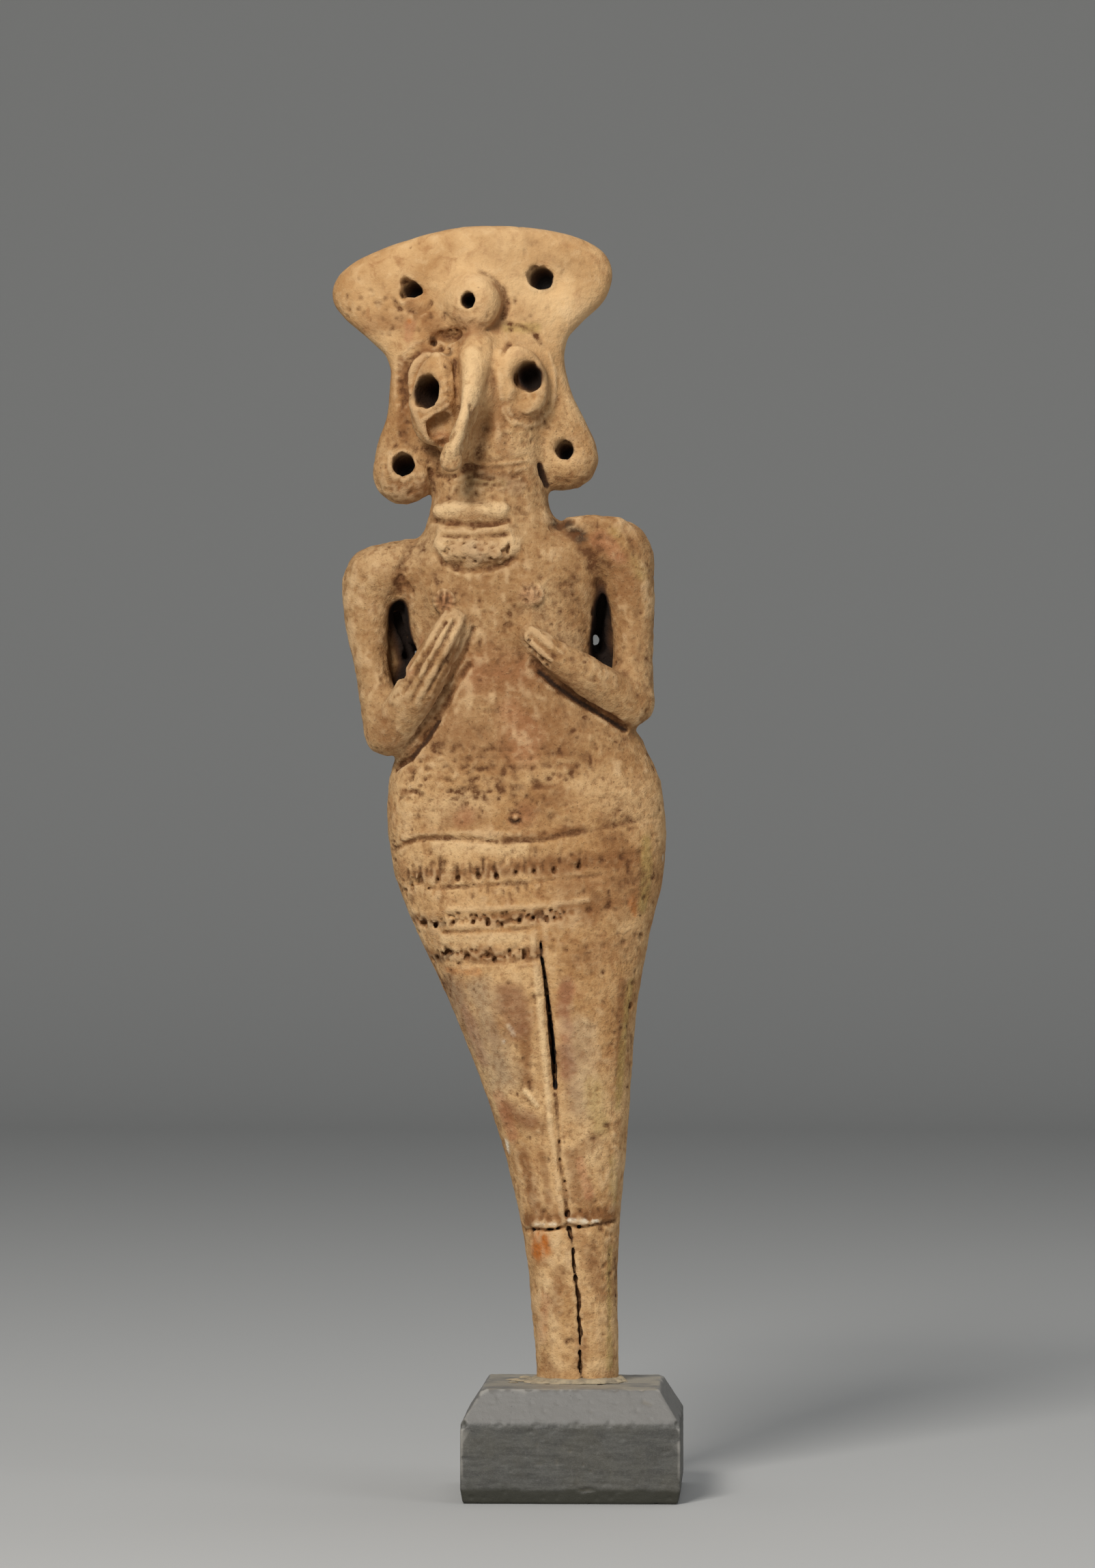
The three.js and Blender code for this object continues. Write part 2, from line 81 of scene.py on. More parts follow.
def lattice(cell, seed):
    """A fixed random number from -1 to 1 for each whole-numbered cell."""
    mixed = (cell[..., 0] * 73856093) ^ (cell[..., 1] * 19349663) ^ (cell[..., 2] * 83492791)
    mixed = (mixed + seed * 2654435761) & 0xFFFFFFFF
    for shift in (15, 13, 16):
        mixed = ((mixed ^ (mixed >> shift)) * 0x2C1B3C6D) & 0xFFFFFFFF
    return (mixed / 0xFFFFFFFF * 2 - 1).astype(np.float32)


def noise(points, size, seed=0, octaves=1):
    """Smooth noise from -1 to 1 with features of the given size, in millimetres."""
    total = np.zeros(len(points), np.float32)
    weight = 1.0
    for octave in range(octaves):
        place = points / (size / 2**octave)
        cell = np.floor(place).astype(np.int64)
        part = place - cell
        part = part * part * (3 - 2 * part)
        value = np.zeros(len(points), np.float32)
        for corner in np.ndindex(2, 2, 2):
            share = np.prod(np.where(corner, part, 1 - part), axis=1)
            value += share * lattice(cell + corner, seed + octave)
        total += weight * value
        weight *= 0.5
    return total / (2 - 2 ** (1 - octaves))


def ramp(value, low, high):
    """Rises smoothly from 0 at low to 1 at high."""
    share = np.clip((value - low) / (high - low), 0, 1)
    return share * share * (3 - 2 * share)


# Clay as a grid of distances

def averaged(field, spread):
    """The field with everything finer than the spread, in cells, averaged away."""
    reach = int(math.ceil(spread * 2.6))
    weights = np.exp(-0.5 * (np.arange(-reach, reach + 1) / spread) ** 2)
    weights = (weights / weights.sum()).astype(np.float32)
    for axis in range(3):
        length = field.shape[axis]
        padding = [(reach, reach) if a == axis else (0, 0) for a in range(3)]
        padded = np.pad(field, padding, mode="edge")
        field = np.zeros_like(field)
        for start, weight in enumerate(weights):
            field += weight * padded[(slice(None),) * axis + (slice(start, start + length),)]
    return field


def ball(centre, radii, facing=(0, -1, 0), turn=0.0):
    """A ball squashed to three radii: across, upright and along its facing.

    Turn leans its top towards the figure's left, in degrees.
    """
    centre = np.asarray(centre, float)
    out = unit(facing)
    across = unit(np.cross(UP, out)) * -1
    upright = np.cross(out, across) * -1
    lean = math.radians(turn)
    across, upright = (
        math.cos(lean) * across - math.sin(lean) * upright,
        math.sin(lean) * across + math.cos(lean) * upright,
    )

    def distance(x, y, z):
        parts = [
            axis[0] * (x - centre[0]) + axis[1] * (y - centre[1]) + axis[2] * (z - centre[2])
            for axis in (across, upright, out)
        ]
        near = np.sqrt(sum((p / r) ** 2 for p, r in zip(parts, radii)))
        slope = np.sqrt(sum((p / r**2) ** 2 for p, r in zip(parts, radii)))
        return near * (near - 1) / np.maximum(slope, 1e-4)

    reach = max(radii)
    return distance, centre - reach, centre + reach


def thread(points, radii):
    """A roll along a line of points, with its own radius at each point."""
    points = np.asarray(points, float)
    radii = np.broadcast_to(np.asarray(radii, float), len(points))

    def distance(x, y, z):
        nearest = None
        for a, b, ra, rb in zip(points, points[1:], radii, radii[1:]):
            run = b - a
            t = ((x - a[0]) * run[0] + (y - a[1]) * run[1] + (z - a[2]) * run[2]) / max(run @ run, 1e-9)
            t = np.clip(t, 0, 1)
            away = np.sqrt(
                (x - a[0] - t * run[0]) ** 2 + (y - a[1] - t * run[1]) ** 2 + (z - a[2] - t * run[2]) ** 2)
            away = away - (ra + t * (rb - ra))
            nearest = away if nearest is None else np.minimum(nearest, away)
        return nearest

    reach = radii.max()
    return distance, points.min(0) - reach, points.max(0) + reach


class Clay:
    """A frame node as a grid of distances to its skin, in millimetres, negative inside.

    The margin is kept free all round it, and the distances are true up to the depth.
    """

    def __init__(self, node, cell, margin=3.0, depth=7.0):
        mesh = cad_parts[node].data
        mesh.calc_loop_triangles()
        points = np.zeros(len(mesh.vertices) * 3, np.float32)
        mesh.vertices.foreach_get("co", points)
        points = points.reshape(-1, 3) / METRES
        corners = np.zeros(len(mesh.loop_triangles) * 3, np.int32)
        mesh.loop_triangles.foreach_get("vertices", corners)
        grid = openvdb.FloatGrid.createLevelSetFromPolygons(
            points.astype(np.float32),
            triangles=corners.reshape(-1, 3).astype(np.uint32),
            transform=openvdb.createLinearTransform(cell),
            halfWidth=depth / cell,
        )
        self.cell = cell
        self.first = np.floor((points.min(0) - margin) / cell).astype(int)
        last = np.ceil((points.max(0) + margin) / cell).astype(int)
        self.field = np.empty(tuple(last - self.first), np.float32)
        grid.copyToArray(self.field, ijk=tuple(int(i) for i in self.first))
        self.low = self.first * cell
        self.whole = self.field        # as it was before any hole was cut
        self.box = points.min(0), points.max(0)

    def axis(self, which, start=0, stop=None):
        """The coordinates of the grid's cells along one axis, shaped to span it."""
        stop = self.field.shape[which] if stop is None else stop
        shape = [1, 1, 1]
        shape[which] = stop - start
        return (self.low[which] + np.arange(start, stop) * self.cell).astype(np.float32).reshape(shape)

    def window(self, low, high, spare=0.5):
        """The block of cells between two corners, and its three coordinates."""
        start = np.floor((np.asarray(low) - spare - self.low) / self.cell).astype(int)
        stop = np.ceil((np.asarray(high) + spare - self.low) / self.cell).astype(int) + 1
        start = np.clip(start, 0, self.field.shape)
        stop = np.clip(stop, start, self.field.shape)
        cells = tuple(slice(a, b) for a, b in zip(start, stop))
        return cells, [self.axis(i, start[i], stop[i]) for i in range(3)]

    def add(self, form, soft=0.3):
        """Joins a form to the clay, rounding the corner between them by the softness."""
        distance, low, high = form
        cells, place = self.window(low, high, spare=soft + 0.5)
        ours, theirs = self.field[cells], distance(*place)
        meeting = np.clip(soft - np.abs(ours - theirs), 0, None) / soft
        self.field[cells] = np.minimum(ours, theirs) - meeting**2 * soft / 4

    def cut(self, form, soft=0.2):
        """Takes a form out of the clay, rounding its edge by the softness."""
        distance, low, high = form
        cells, place = self.window(low, high, spare=soft + 0.5)
        ours, theirs = self.field[cells], -distance(*place)
        meeting = np.clip(soft - np.abs(ours - theirs), 0, None) / soft
        self.field[cells] = np.maximum(ours, theirs) + meeting**2 * soft / 4

    def raise_skin(self, points, radius, height):
        """Lifts the skin along a line of points that lie on it, or presses it in below zero."""
        points = np.atleast_2d(points)
        points = np.concatenate([points, points]) if len(points) == 1 else points
        distance, low, high = thread(points, 0.0)
        cells, place = self.window(low - radius, high + radius)
        near = np.clip(1 - (distance(*place) / radius) ** 2, 0, 1) ** 2
        self.field[cells] -= height * near

    def at(self, points, field=None, step=1):
        """The grid's value at points, or that of another field with every step-th cell of it."""
        field = self.field if field is None else field
        place = (np.asarray(points, float) - self.low) / (self.cell * step)
        cell = np.clip(np.floor(place).astype(int), 0, np.array(field.shape) - 2)
        part = np.clip(place - cell, 0, 1)
        value = np.zeros(len(place))
        for corner in np.ndindex(2, 2, 2):
            share = np.prod(np.where(corner, part, 1 - part), axis=1)
            value += share * field[tuple((cell + corner).T)]
        return value

    def outward(self, points, step=0.4):
        """The unit directions straight off the skin."""
        points = np.atleast_2d(points)
        slope = np.stack([
            self.at(points + step * np.eye(3)[i]) - self.at(points - step * np.eye(3)[i]) for i in range(3)
        ], axis=1)
        return slope / np.maximum(np.linalg.norm(slope, axis=1, keepdims=True), 1e-6)

    def met(self, field, starts, towards, span):
        """How far along each straight line it first enters the clay, or infinity if it never does."""
        steps = np.arange(0, span, self.cell / 2)
        lines = starts[:, None] + steps[:, None] * towards[:, None]
        value = self.at(lines.reshape(-1, 3), field).reshape(len(starts), -1)
        inside = value < 0
        row = np.arange(len(starts))
        first = np.maximum(inside.argmax(1), 1)
        before, after = value[row, first - 1], value[row, first]
        back = after / np.minimum(after - before, -1e-6) * (steps[1] - steps[0])
        return np.where(inside.any(1), steps[first] - back, np.inf)

    def seen(self, places):
        """Where the camera's lines through pixels meet the clay. In a cut hole, where its mouth was."""
        lead, hole_depth = 30.0, 1.0
        towards = np.array([sight(place) for place in places])
        starts = EYE + (VIEW_DISTANCE - lead) * towards
        now = self.met(self.field, starts, towards, 2 * lead)
        uncut = self.met(self.whole, starts, towards, 2 * lead)
        reach = np.where(now > uncut + hole_depth, uncut, now)
        return starts + reach[:, None] * towards, np.isfinite(reach)

    def skins(self, places):
        """The points of the skin under pixels that all lie on the clay."""
        points, found = self.seen(places)
        if not found.all():
            raise ValueError(f"no clay at pixel {places[int(found.argmin())]}")
        return points

    def skin(self, place):
        return self.skins([place])[0]

    def mesh(self, name, triangles, relief, guard=None):
        """The skin as a mesh object with about the given number of triangles.

        Relief gives each point's lift off the skin, and guard how far it is spared from thinning.
        """
        grid = openvdb.FloatGrid()
        grid.transform = openvdb.createLinearTransform(self.cell)
        grid.background = float(self.field.max())
        grid.copyFromArray(self.field, ijk=tuple(int(i) for i in self.first))
        points, quads = grid.convertToQuads(0)
        points = points.astype(float)
        points = points + relief(points)[:, None] * self.outward(points)
        points = np.clip(points, *self.box)
        faces = quads[:, ::-1]
        made = bpy.data.meshes.new(name)
        made.from_pydata((points * METRES).tolist(), [], faces.tolist())
        piece = bpy.data.objects.new(name, made)
        bpy.context.scene.collection.objects.link(piece)
        thin = piece.modifiers.new("thin", "DECIMATE")
        thin.ratio = min(1, triangles / (2 * len(faces)))
        if guard:
            group = piece.vertex_groups.new(name="guard")
            weights = guard(points)
            for level in np.unique(weights):
                group.add(np.flatnonzero(weights == level).tolist(), float(level), "REPLACE")
            thin.vertex_group = "guard"
            thin.invert_vertex_group = True
        solid = bpy.data.meshes.new_from_object(piece.evaluated_get(bpy.context.evaluated_depsgraph_get()))
        piece.modifiers.clear()
        piece.vertex_groups.clear()
        piece.data = solid
        bpy.data.meshes.remove(made)
        solid.name = name
        for polygon in solid.polygons:
            polygon.use_smooth = True
        return piece


def pixels(count):
    """A length in photo pixels, in millimetres."""
    return count * PIXEL


def vertices_of(piece):
    """A piece's points in millimetres."""
    points = np.zeros(len(piece.data.vertices) * 3, np.float32)
    piece.data.vertices.foreach_get("co", points)
    return points.reshape(-1, 3).astype(float) / METRES


def paint(piece, name, values):
    """Keeps one number for each vertex, for the material to read."""
    layer = piece.data.attributes.new(name, "FLOAT", "POINT")
    layer.data.foreach_set("value", np.clip(values, 0, 1).astype(np.float32))


# Shader helpers

def node(tree, kind, inputs=(), **settings):
    """A new node with its settings and its inputs, each a value or a socket to link from."""
    made = tree.nodes.new(kind)
    for name, value in settings.items():
        setattr(made, name, value)
    for name, value in dict(inputs).items():
        if isinstance(value, bpy.types.NodeSocket):
            tree.links.new(value, made.inputs[name])
        else:
            made.inputs[name].default_value = value
    return made


def blend(tree, share, first, second):
    """The first color with the second laid over it by a share."""
    return node(tree, "ShaderNodeMix", {0: share, 6: first, 7: second}, data_type="RGBA").outputs[2]


def result_of(tree, work, first, second, clamp=False):
    """What one operation makes of two numbers."""
    return node(tree, "ShaderNodeMath", {0: first, 1: second}, operation=work, use_clamp=clamp).outputs[0]


def plus(tree, first, second):
    return result_of(tree, "ADD", first, second)


def minus(tree, first, second):
    return result_of(tree, "SUBTRACT", first, second)


def times(tree, first, second, clamp=False):
    return result_of(tree, "MULTIPLY", first, second, clamp)


def span(tree, value, low, high, to_low=0.0, to_high=1.0):
    """A value carried smoothly from one range to another, and held at its ends."""
    inputs = {"Value": value, "From Min": low, "From Max": high, "To Min": to_low, "To Max": to_high}
    return node(tree, "ShaderNodeMapRange", inputs, interpolation_type="SMOOTHSTEP").outputs[0]


def cloud(tree, place, scale, detail=3.0, rough=0.55, twist=0.0):
    """Cloudy noise, with the scale in features per millimetre."""
    inputs = {"Vector": place, "Scale": scale, "Detail": detail, "Roughness": rough, "Distortion": twist}
    return node(tree, "ShaderNodeTexNoise", inputs).outputs["Fac"]


def painted(tree, name):
    """The number kept for each vertex under a name."""
    return node(tree, "ShaderNodeAttribute", attribute_name=name).outputs["Fac"]


def millimetres(tree):
    """The place on the piece in millimetres."""
    place = node(tree, "ShaderNodeTexCoord").outputs["Object"]
    scaled = node(tree, "ShaderNodeVectorMath", {0: place, "Scale": 1 / METRES}, operation="SCALE")
    return scaled.outputs[0]


def new_group(name, inputs, outputs):
    """An empty node group with named sockets, and its two end nodes."""
    tree = bpy.data.node_groups.new(name, "ShaderNodeTree")
    for label, kind, value in inputs:
        socket = tree.interface.new_socket(name=label, in_out="INPUT", socket_type=f"NodeSocket{kind}")
        if value is not None:
            socket.default_value = value
    for label, kind in outputs:
        tree.interface.new_socket(name=label, in_out="OUTPUT", socket_type=f"NodeSocket{kind}")
    return tree, tree.nodes.new("NodeGroupInput").outputs, tree.nodes.new("NodeGroupOutput").inputs


def grain_group():
    """Grain of a fired or ground body: mottling, small dark pits and the height that goes with them."""
    tree, given, result = new_group(
        "Grain",
        [("Place", "Vector", None), ("Grains per mm", "Float", 2.0), ("Pitting", "Float", 0.5)],
        [("Mottle", "Float"), ("Pits", "Float"), ("Height", "Float")])
    fine = cloud(tree, given["Place"], given["Grains per mm"], 4.0, 0.65)
    finer = cloud(tree, given["Place"], times(tree, given["Grains per mm"], 3.1), 2.0, 0.6)
    pocks = cloud(tree, given["Place"], times(tree, given["Grains per mm"], 1.7), 2.0, 0.6)
    edge = minus(tree, 0.70, times(tree, given["Pitting"], 0.1))
    pits = span(tree, pocks, edge, plus(tree, edge, 0.14))
    rise = plus(tree, times(tree, fine, 0.7), times(tree, finer, 0.3))
    tree.links.new(times(tree, fine, finer), result["Mottle"])
    tree.links.new(pits, result["Pits"])
    tree.links.new(minus(tree, rise, times(tree, pits, 0.4)), result["Height"])
    return tree


def soil_group():
    """Old soil that has stayed in the hollows, with a ragged edge."""
    tree, given, result = new_group(
        "Soil",
        [("Place", "Vector", None), ("Color", "Color", None), ("Soil", "Color", None),
         ("Hollow", "Float", 0.0), ("Amount", "Float", 1.0)],
        [("Color", "Color")])
    ragged = cloud(tree, given["Place"], 1.7, 4.0, 0.7)
    share = times(tree, given["Hollow"], span(tree, ragged, 0.3, 0.7, 0.45, 1.35))
    share = times(tree, share, given["Amount"], clamp=True)
    tree.links.new(blend(tree, share, given["Color"], given["Soil"]), result["Color"])
    return tree


GRAIN = grain_group()
SOIL = soil_group()


def grained(tree, place, per_mm, pitting):
    """The grain of a material, as the outputs of its node group."""
    inputs = {"Place": place, "Grains per mm": per_mm, "Pitting": pitting}
    return node(tree, "ShaderNodeGroup", inputs, node_tree=GRAIN).outputs


def soiled(tree, place, skin, soil, amount):
    """A skin's color with soil in the hollows painted on its mesh."""
    hollow = painted(tree, "hollow")
    inputs = {"Place": place, "Color": skin, "Soil": soil, "Hollow": hollow, "Amount": amount}
    return node(tree, "ShaderNodeGroup", inputs, node_tree=SOIL).outputs["Color"]


def new_material(name, rough):
    """A material of one roughness, with its node tree and its shader."""
    material = bpy.data.materials.new(name)
    material.use_nodes = True
    shader = material.node_tree.nodes["Principled BSDF"]
    shader.inputs["Roughness"].default_value = rough
    return material, material.node_tree, shader


def bumped(tree, shader, height, depth):
    """Feeds a height to the shader's normal, with the depth in millimetres."""
    bump = node(tree, "ShaderNodeBump", {"Height": height, "Distance": depth * METRES, "Strength": 1.0})
    tree.links.new(bump.outputs[0], shader.inputs["Normal"])


def color(red, green, blue):
    """A color from its 0 to 255 screen values."""
    def linear(value):
        return ((value / 255 + 0.055) / 1.055) ** 2.4 if value > 10 else value / 3295

    return linear(red), linear(green), linear(blue), 1


# The color of each stain on the clay, which the mesh keeps as a number under the stain's name. Some also
# carry painted shade or a painted highlight, as marked.
STAINS = {
    # lighter clay, and also a painted highlight on ridge tops that the light catches
    "straw_and_highlight": color(222, 188, 140),
    # brown stains, and also painted shade where it lies on shaded flanks and under overhangs
    "umber_and_shade": color(132, 86, 48),
    "rose": color(168, 104, 72),
    "plum": color(136, 92, 64),
    "ash": color(156, 134, 108),
    # olive stains, and also painted shade along the figure's left edges, which turn away from the light
    "olive_and_edge_shade": color(166, 138, 80),
    "rust": color(178, 100, 34),
    # painted shade: a soot-dark brown laid in clefts, slots and pits
    "painted_dark_shade": color(58, 42, 30),
    "lime": color(232, 220, 196),
}


def fired_clay():
    material, tree, shader = new_material("fired_clay", 0.88)
    place = millimetres(tree)
    weathered = painted(tree, "weathered")
    grain = grained(tree, place, 1.6, weathered)

    def tinted(below, value, low, high, most, tint, everywhere=False):
        """Lays on a tint where the value passes from low to high, by the given most."""
        share = span(tree, value, low, high, 0.0, most)
        share = share if everywhere else times(tree, share, weathered, clamp=True)
        return blend(tree, share, below, tint)

    broad = cloud(tree, place, 0.11, 4.0, 0.6)
    patchy = cloud(tree, place, 0.36, 5.0, 0.66, 0.5)
    small = cloud(tree, place, 1.15, 3.0, 0.62)
    skin = blend(tree, span(tree, broad, 0.36, 0.64), color(176, 132, 84), color(208, 168, 118))
    skin = tinted(skin, patchy, 0.50, 0.68, 0.55, color(150, 100, 58), everywhere=True)
    skin = tinted(skin, patchy, 0.48, 0.32, 0.34, color(220, 186, 140), everywhere=True)
    skin = blend(tree, times(tree, painted(tree, "dusky"), 0.55), skin, color(142, 106, 68))
    # the stains, some of which also carry painted shade and highlight
    for name, stain in STAINS.items():
        skin = blend(tree, painted(tree, name), skin, stain)
    skin = tinted(skin, small, 0.52, 0.34, 0.50, color(132, 88, 50))
    skin = tinted(skin, small, 0.50, 0.74, 0.2, color(222, 188, 140))
    skin = tinted(skin, grain["Mottle"], 0.23, 0.13, 0.30, color(120, 80, 46))
    skin = blend(tree, times(tree, grain["Pits"], 0.3), skin, color(104, 68, 40))
    skin = blend(tree, times(tree, painted(tree, "edge"), 0.4), skin, color(226, 192, 146))
    skin = soiled(tree, place, skin, color(98, 62, 34), 1.0)
    # painted shade in the holes, gaps and creases, first brown and then near black
    skin = blend(tree, span(tree, painted(tree, "painted_shade"), 0, 0.55), skin, color(72, 46, 26))
    skin = blend(tree, span(tree, painted(tree, "painted_shade"), 0.4, 0.95), skin, color(17, 11, 8))
    tree.links.new(skin, shader.inputs["Base Color"])
    shader.inputs["Specular IOR Level"].default_value = 0.25
    rise = plus(tree, times(tree, small, 1.6), grain["Height"])
    bumped(tree, shader, rise, 0.15)
    return material


def dark_stone():
    material, tree, shader = new_material("dark_stone", 0.55)
    place = millimetres(tree)
    grain = grained(tree, place, 2.2, 0.25)
    drawn_out = node(tree, "ShaderNodeVectorMath", {0: place, 1: (0.3, 0.3, 1.6)}, operation="MULTIPLY")
    streaks = cloud(tree, drawn_out.outputs[0], 1.0, 4.0, 0.65)
    broad = cloud(tree, place, 0.16, 4.0, 0.6)
    skin = blend(tree, span(tree, streaks, 0.35, 0.65), color(66, 65, 61), color(84, 83, 78))
    skin = blend(tree, span(tree, broad, 0.42, 0.65, 0, 0.35), skin, color(84, 80, 68))
    # painted highlight on the upward slope of the bevel
    skin = blend(tree, painted(tree, "slope"), skin, color(114, 112, 108))
    skin = blend(tree, times(tree, painted(tree, "dusty"), 0.8), skin, color(158, 150, 134))
    skin = blend(tree, span(tree, grain["Mottle"], 0.2, 0.38, 0, 0.22), skin, color(120, 118, 112))
    skin = blend(tree, times(tree, grain["Pits"], 0.5), skin, color(52, 51, 48))
    skin = blend(tree, times(tree, painted(tree, "edge"), 0.7), skin, color(160, 156, 148))
    # painted shade in a dark olive band along the bottom
    skin = blend(tree, times(tree, painted(tree, "foot_shade"), 0.85), skin, color(46, 45, 34))
    skin = soiled(tree, place, skin, color(112, 102, 82), 0.5)
    tree.links.new(skin, shader.inputs["Base Color"])
    bumped(tree, shader, grain["Height"], 0.07)
    return material


def pale_putty():
    material, tree, shader = new_material("pale_putty", 0.8)
    place = millimetres(tree)
    grain = grained(tree, place, 1.6, 0.4)
    patchy = span(tree, cloud(tree, place, 0.5, 4.0), 0.4, 0.65)
    skin = blend(tree, patchy, color(172, 156, 128), color(140, 128, 108))
    skin = blend(tree, times(tree, grain["Pits"], 0.5), skin, color(96, 80, 60))
    skin = soiled(tree, place, skin, color(92, 78, 60), 0.8)
    tree.links.new(skin, shader.inputs["Base Color"])
    bumped(tree, shader, grain["Height"], 0.12)
    return material


# The figurine

FIGURE_CELL = 0.25
FIGURE_TRIANGLES = 197000

clay = Clay("figurine", FIGURE_CELL)
chance = np.random.default_rng(7)

# How far the maker's fingers have softened each stretch: its upper end, and the spread in millimetres
HIPS_TOP, HIPS_SPREAD = 99.0, 1.7
CHEST_TOP, CHEST_SPREAD = 138.0, 0.9
HEAD_SPREAD = 0.7

# The clay above the face is rubbed rounder still, and the feet end flat on the block
FAN_BASE, FAN_SPREAD = 163.0, 1.5
BLOCK_TOP = 15.4
ANKLES = BLOCK_TOP + 2.2

# Stretches are blended this far to either side of their border, and worked out with this much to spare
BORDER = 4.0
SPARE = 6.0


def softened():
    """The clay with its facets rubbed smooth, more over the hips and legs than on the head."""
    heights = clay.axis(2)[0, 0]
    spare = int(SPARE / FIGURE_CELL)

    def rubbed(field, spread):
        once = averaged(field, spread / FIGURE_CELL)
        return 2 * once - averaged(once, spread / FIGURE_CELL)

    def row(height):
        return int(np.searchsorted(heights, height))

    # the ankles are carried straight down, so that the soles stay sharp
    raw = clay.field.copy()
    raw[:, :, :row(ANKLES)] = raw[:, :, row(ANKLES):row(ANKLES) + 1]
    field = raw.copy()
    end = row(HIPS_TOP + SPARE)
    field[:, :, :end] = rubbed(raw[:, :, :end + spare], HIPS_SPREAD)[:, :, :end]
    for base, top, spread in ((HIPS_TOP, CHEST_TOP + BORDER, CHEST_SPREAD),
                              (CHEST_TOP, np.inf, HEAD_SPREAD),
                              (FAN_BASE, np.inf, FAN_SPREAD)):
        start, end = row(base - BORDER), row(top)
        part = rubbed(raw[:, :, start - spare:end + spare], spread)[:, :, spare:spare + end - start]
        share = ramp(heights[start:end], base - BORDER, base + BORDER)
        field[:, :, start:end] = (1 - share) * field[:, :, start:end] + share * part
    return np.maximum(field, BLOCK_TOP - clay.axis(2))


# Painted shade where light hardly reaches: a line of points, how far from it the skin is painted dark, and
# how dark.
# Those in front darken only skin that faces the front. The ways out are the holes' far ends.
painted_shade_lines = []
painted_shade_lines_in_front = []
ways_out = []

# How far back the gaps between the arms and the trunk come out
BACK_OF_ARMS = 5.0


def groove(places, width, depth):
    """A line pressed into the skin along pixels. Width and depth are in pixels too."""
    points, found = clay.seen(places)
    if found.any():
        clay.raise_skin(points[found], pixels(width), -pixels(depth))


def ridge(places, width, height):
    groove(places, width, -height)


def pit(place, width, depth):
    groove([place], width, depth)


def prick(place, radius, depth, tall=1.3, dark=0.6):
    """A small ragged hole made with a point. Lengths are in pixels."""
    points, found = clay.seen([place])
    if not found.all():
        return
    inwards = -clay.outward(points)[0]
    for size in (1.0, 0.7, 0.6):
        drift = chance.normal(0, 0.9 * (1.15 - size), 3) * pixels(radius)
        clay.cut(ball(points[0] + drift + inwards * pixels(depth) * 0.1,
                      (pixels(radius) * size, pixels(radius * tall) * size, pixels(depth) * size),
                      -inwards, chance.uniform(-25, 25)), soft=0.2)
    # painted shade inside the hole, as dark as the dark share
    painted_shade_lines.append((points + inwards * pixels(radius), pixels(radius) * 1.3, dark))


def rub(place, radius, spread, filling=False):
    """Smooths the clay round a place, or only fills its hollows. The lengths are in millimetres."""
    middle = clay.skin(place)
    cells, (x, y, z) = clay.window(middle - radius, middle + radius)
    away = np.sqrt((x - middle[0]) ** 2 + (y - middle[1]) ** 2 + (z - middle[2]) ** 2)
    share = ramp(away, radius, radius * 0.5)
    patch = clay.field[cells]
    smooth = averaged(patch, spread / FIGURE_CELL)
    smooth = np.minimum(smooth, patch) if filling else smooth
    clay.field[cells] = patch + share * (smooth - patch)


def roll(places, radii, lift):
    """A roll of clay laid along pixels and smeared in. It stands out of the skin by the lift."""
    points = clay.skins(places)
    radii = np.broadcast_to(np.asarray(radii, float), len(points))
    points = points + pixels(radii - lift)[:, None] * (0, 1, 0)
    clay.add(thread(points, pixels(radii)), soft=1.0)


def level(place, spread):
    """For a place in a hole: its point at the depth of the skin round it, and the clay's thickness."""
    turns = np.linspace(0, 2 * math.pi, 12, endpoint=False)
    column, row = place
    ring, found = clay.seen([(column + spread * math.cos(t), row + spread * math.sin(t)) for t in turns])
    ring = ring[found]
    toward = sight(place)
    point = EYE + toward * (np.median(ring[:, 1]) - EYE[1]) / toward[1]
    through = np.tile(toward, (len(ring), 1))
    under_skin, farthest = 0.3, 25.0
    thick = clay.met(-clay.whole, ring + under_skin * through, through, farthest) + under_skin
    return point, np.median(thick)


def scored(places, width, depth, dark):
    """A scratch with soil left in it, darkened along its line with painted shade."""
    groove(places, width, depth)
    points, found = clay.seen(places)
    if found.all():
        # painted shade along the scratch
        painted_shade_lines.append((points, pixels(width) * 0.75, dark))


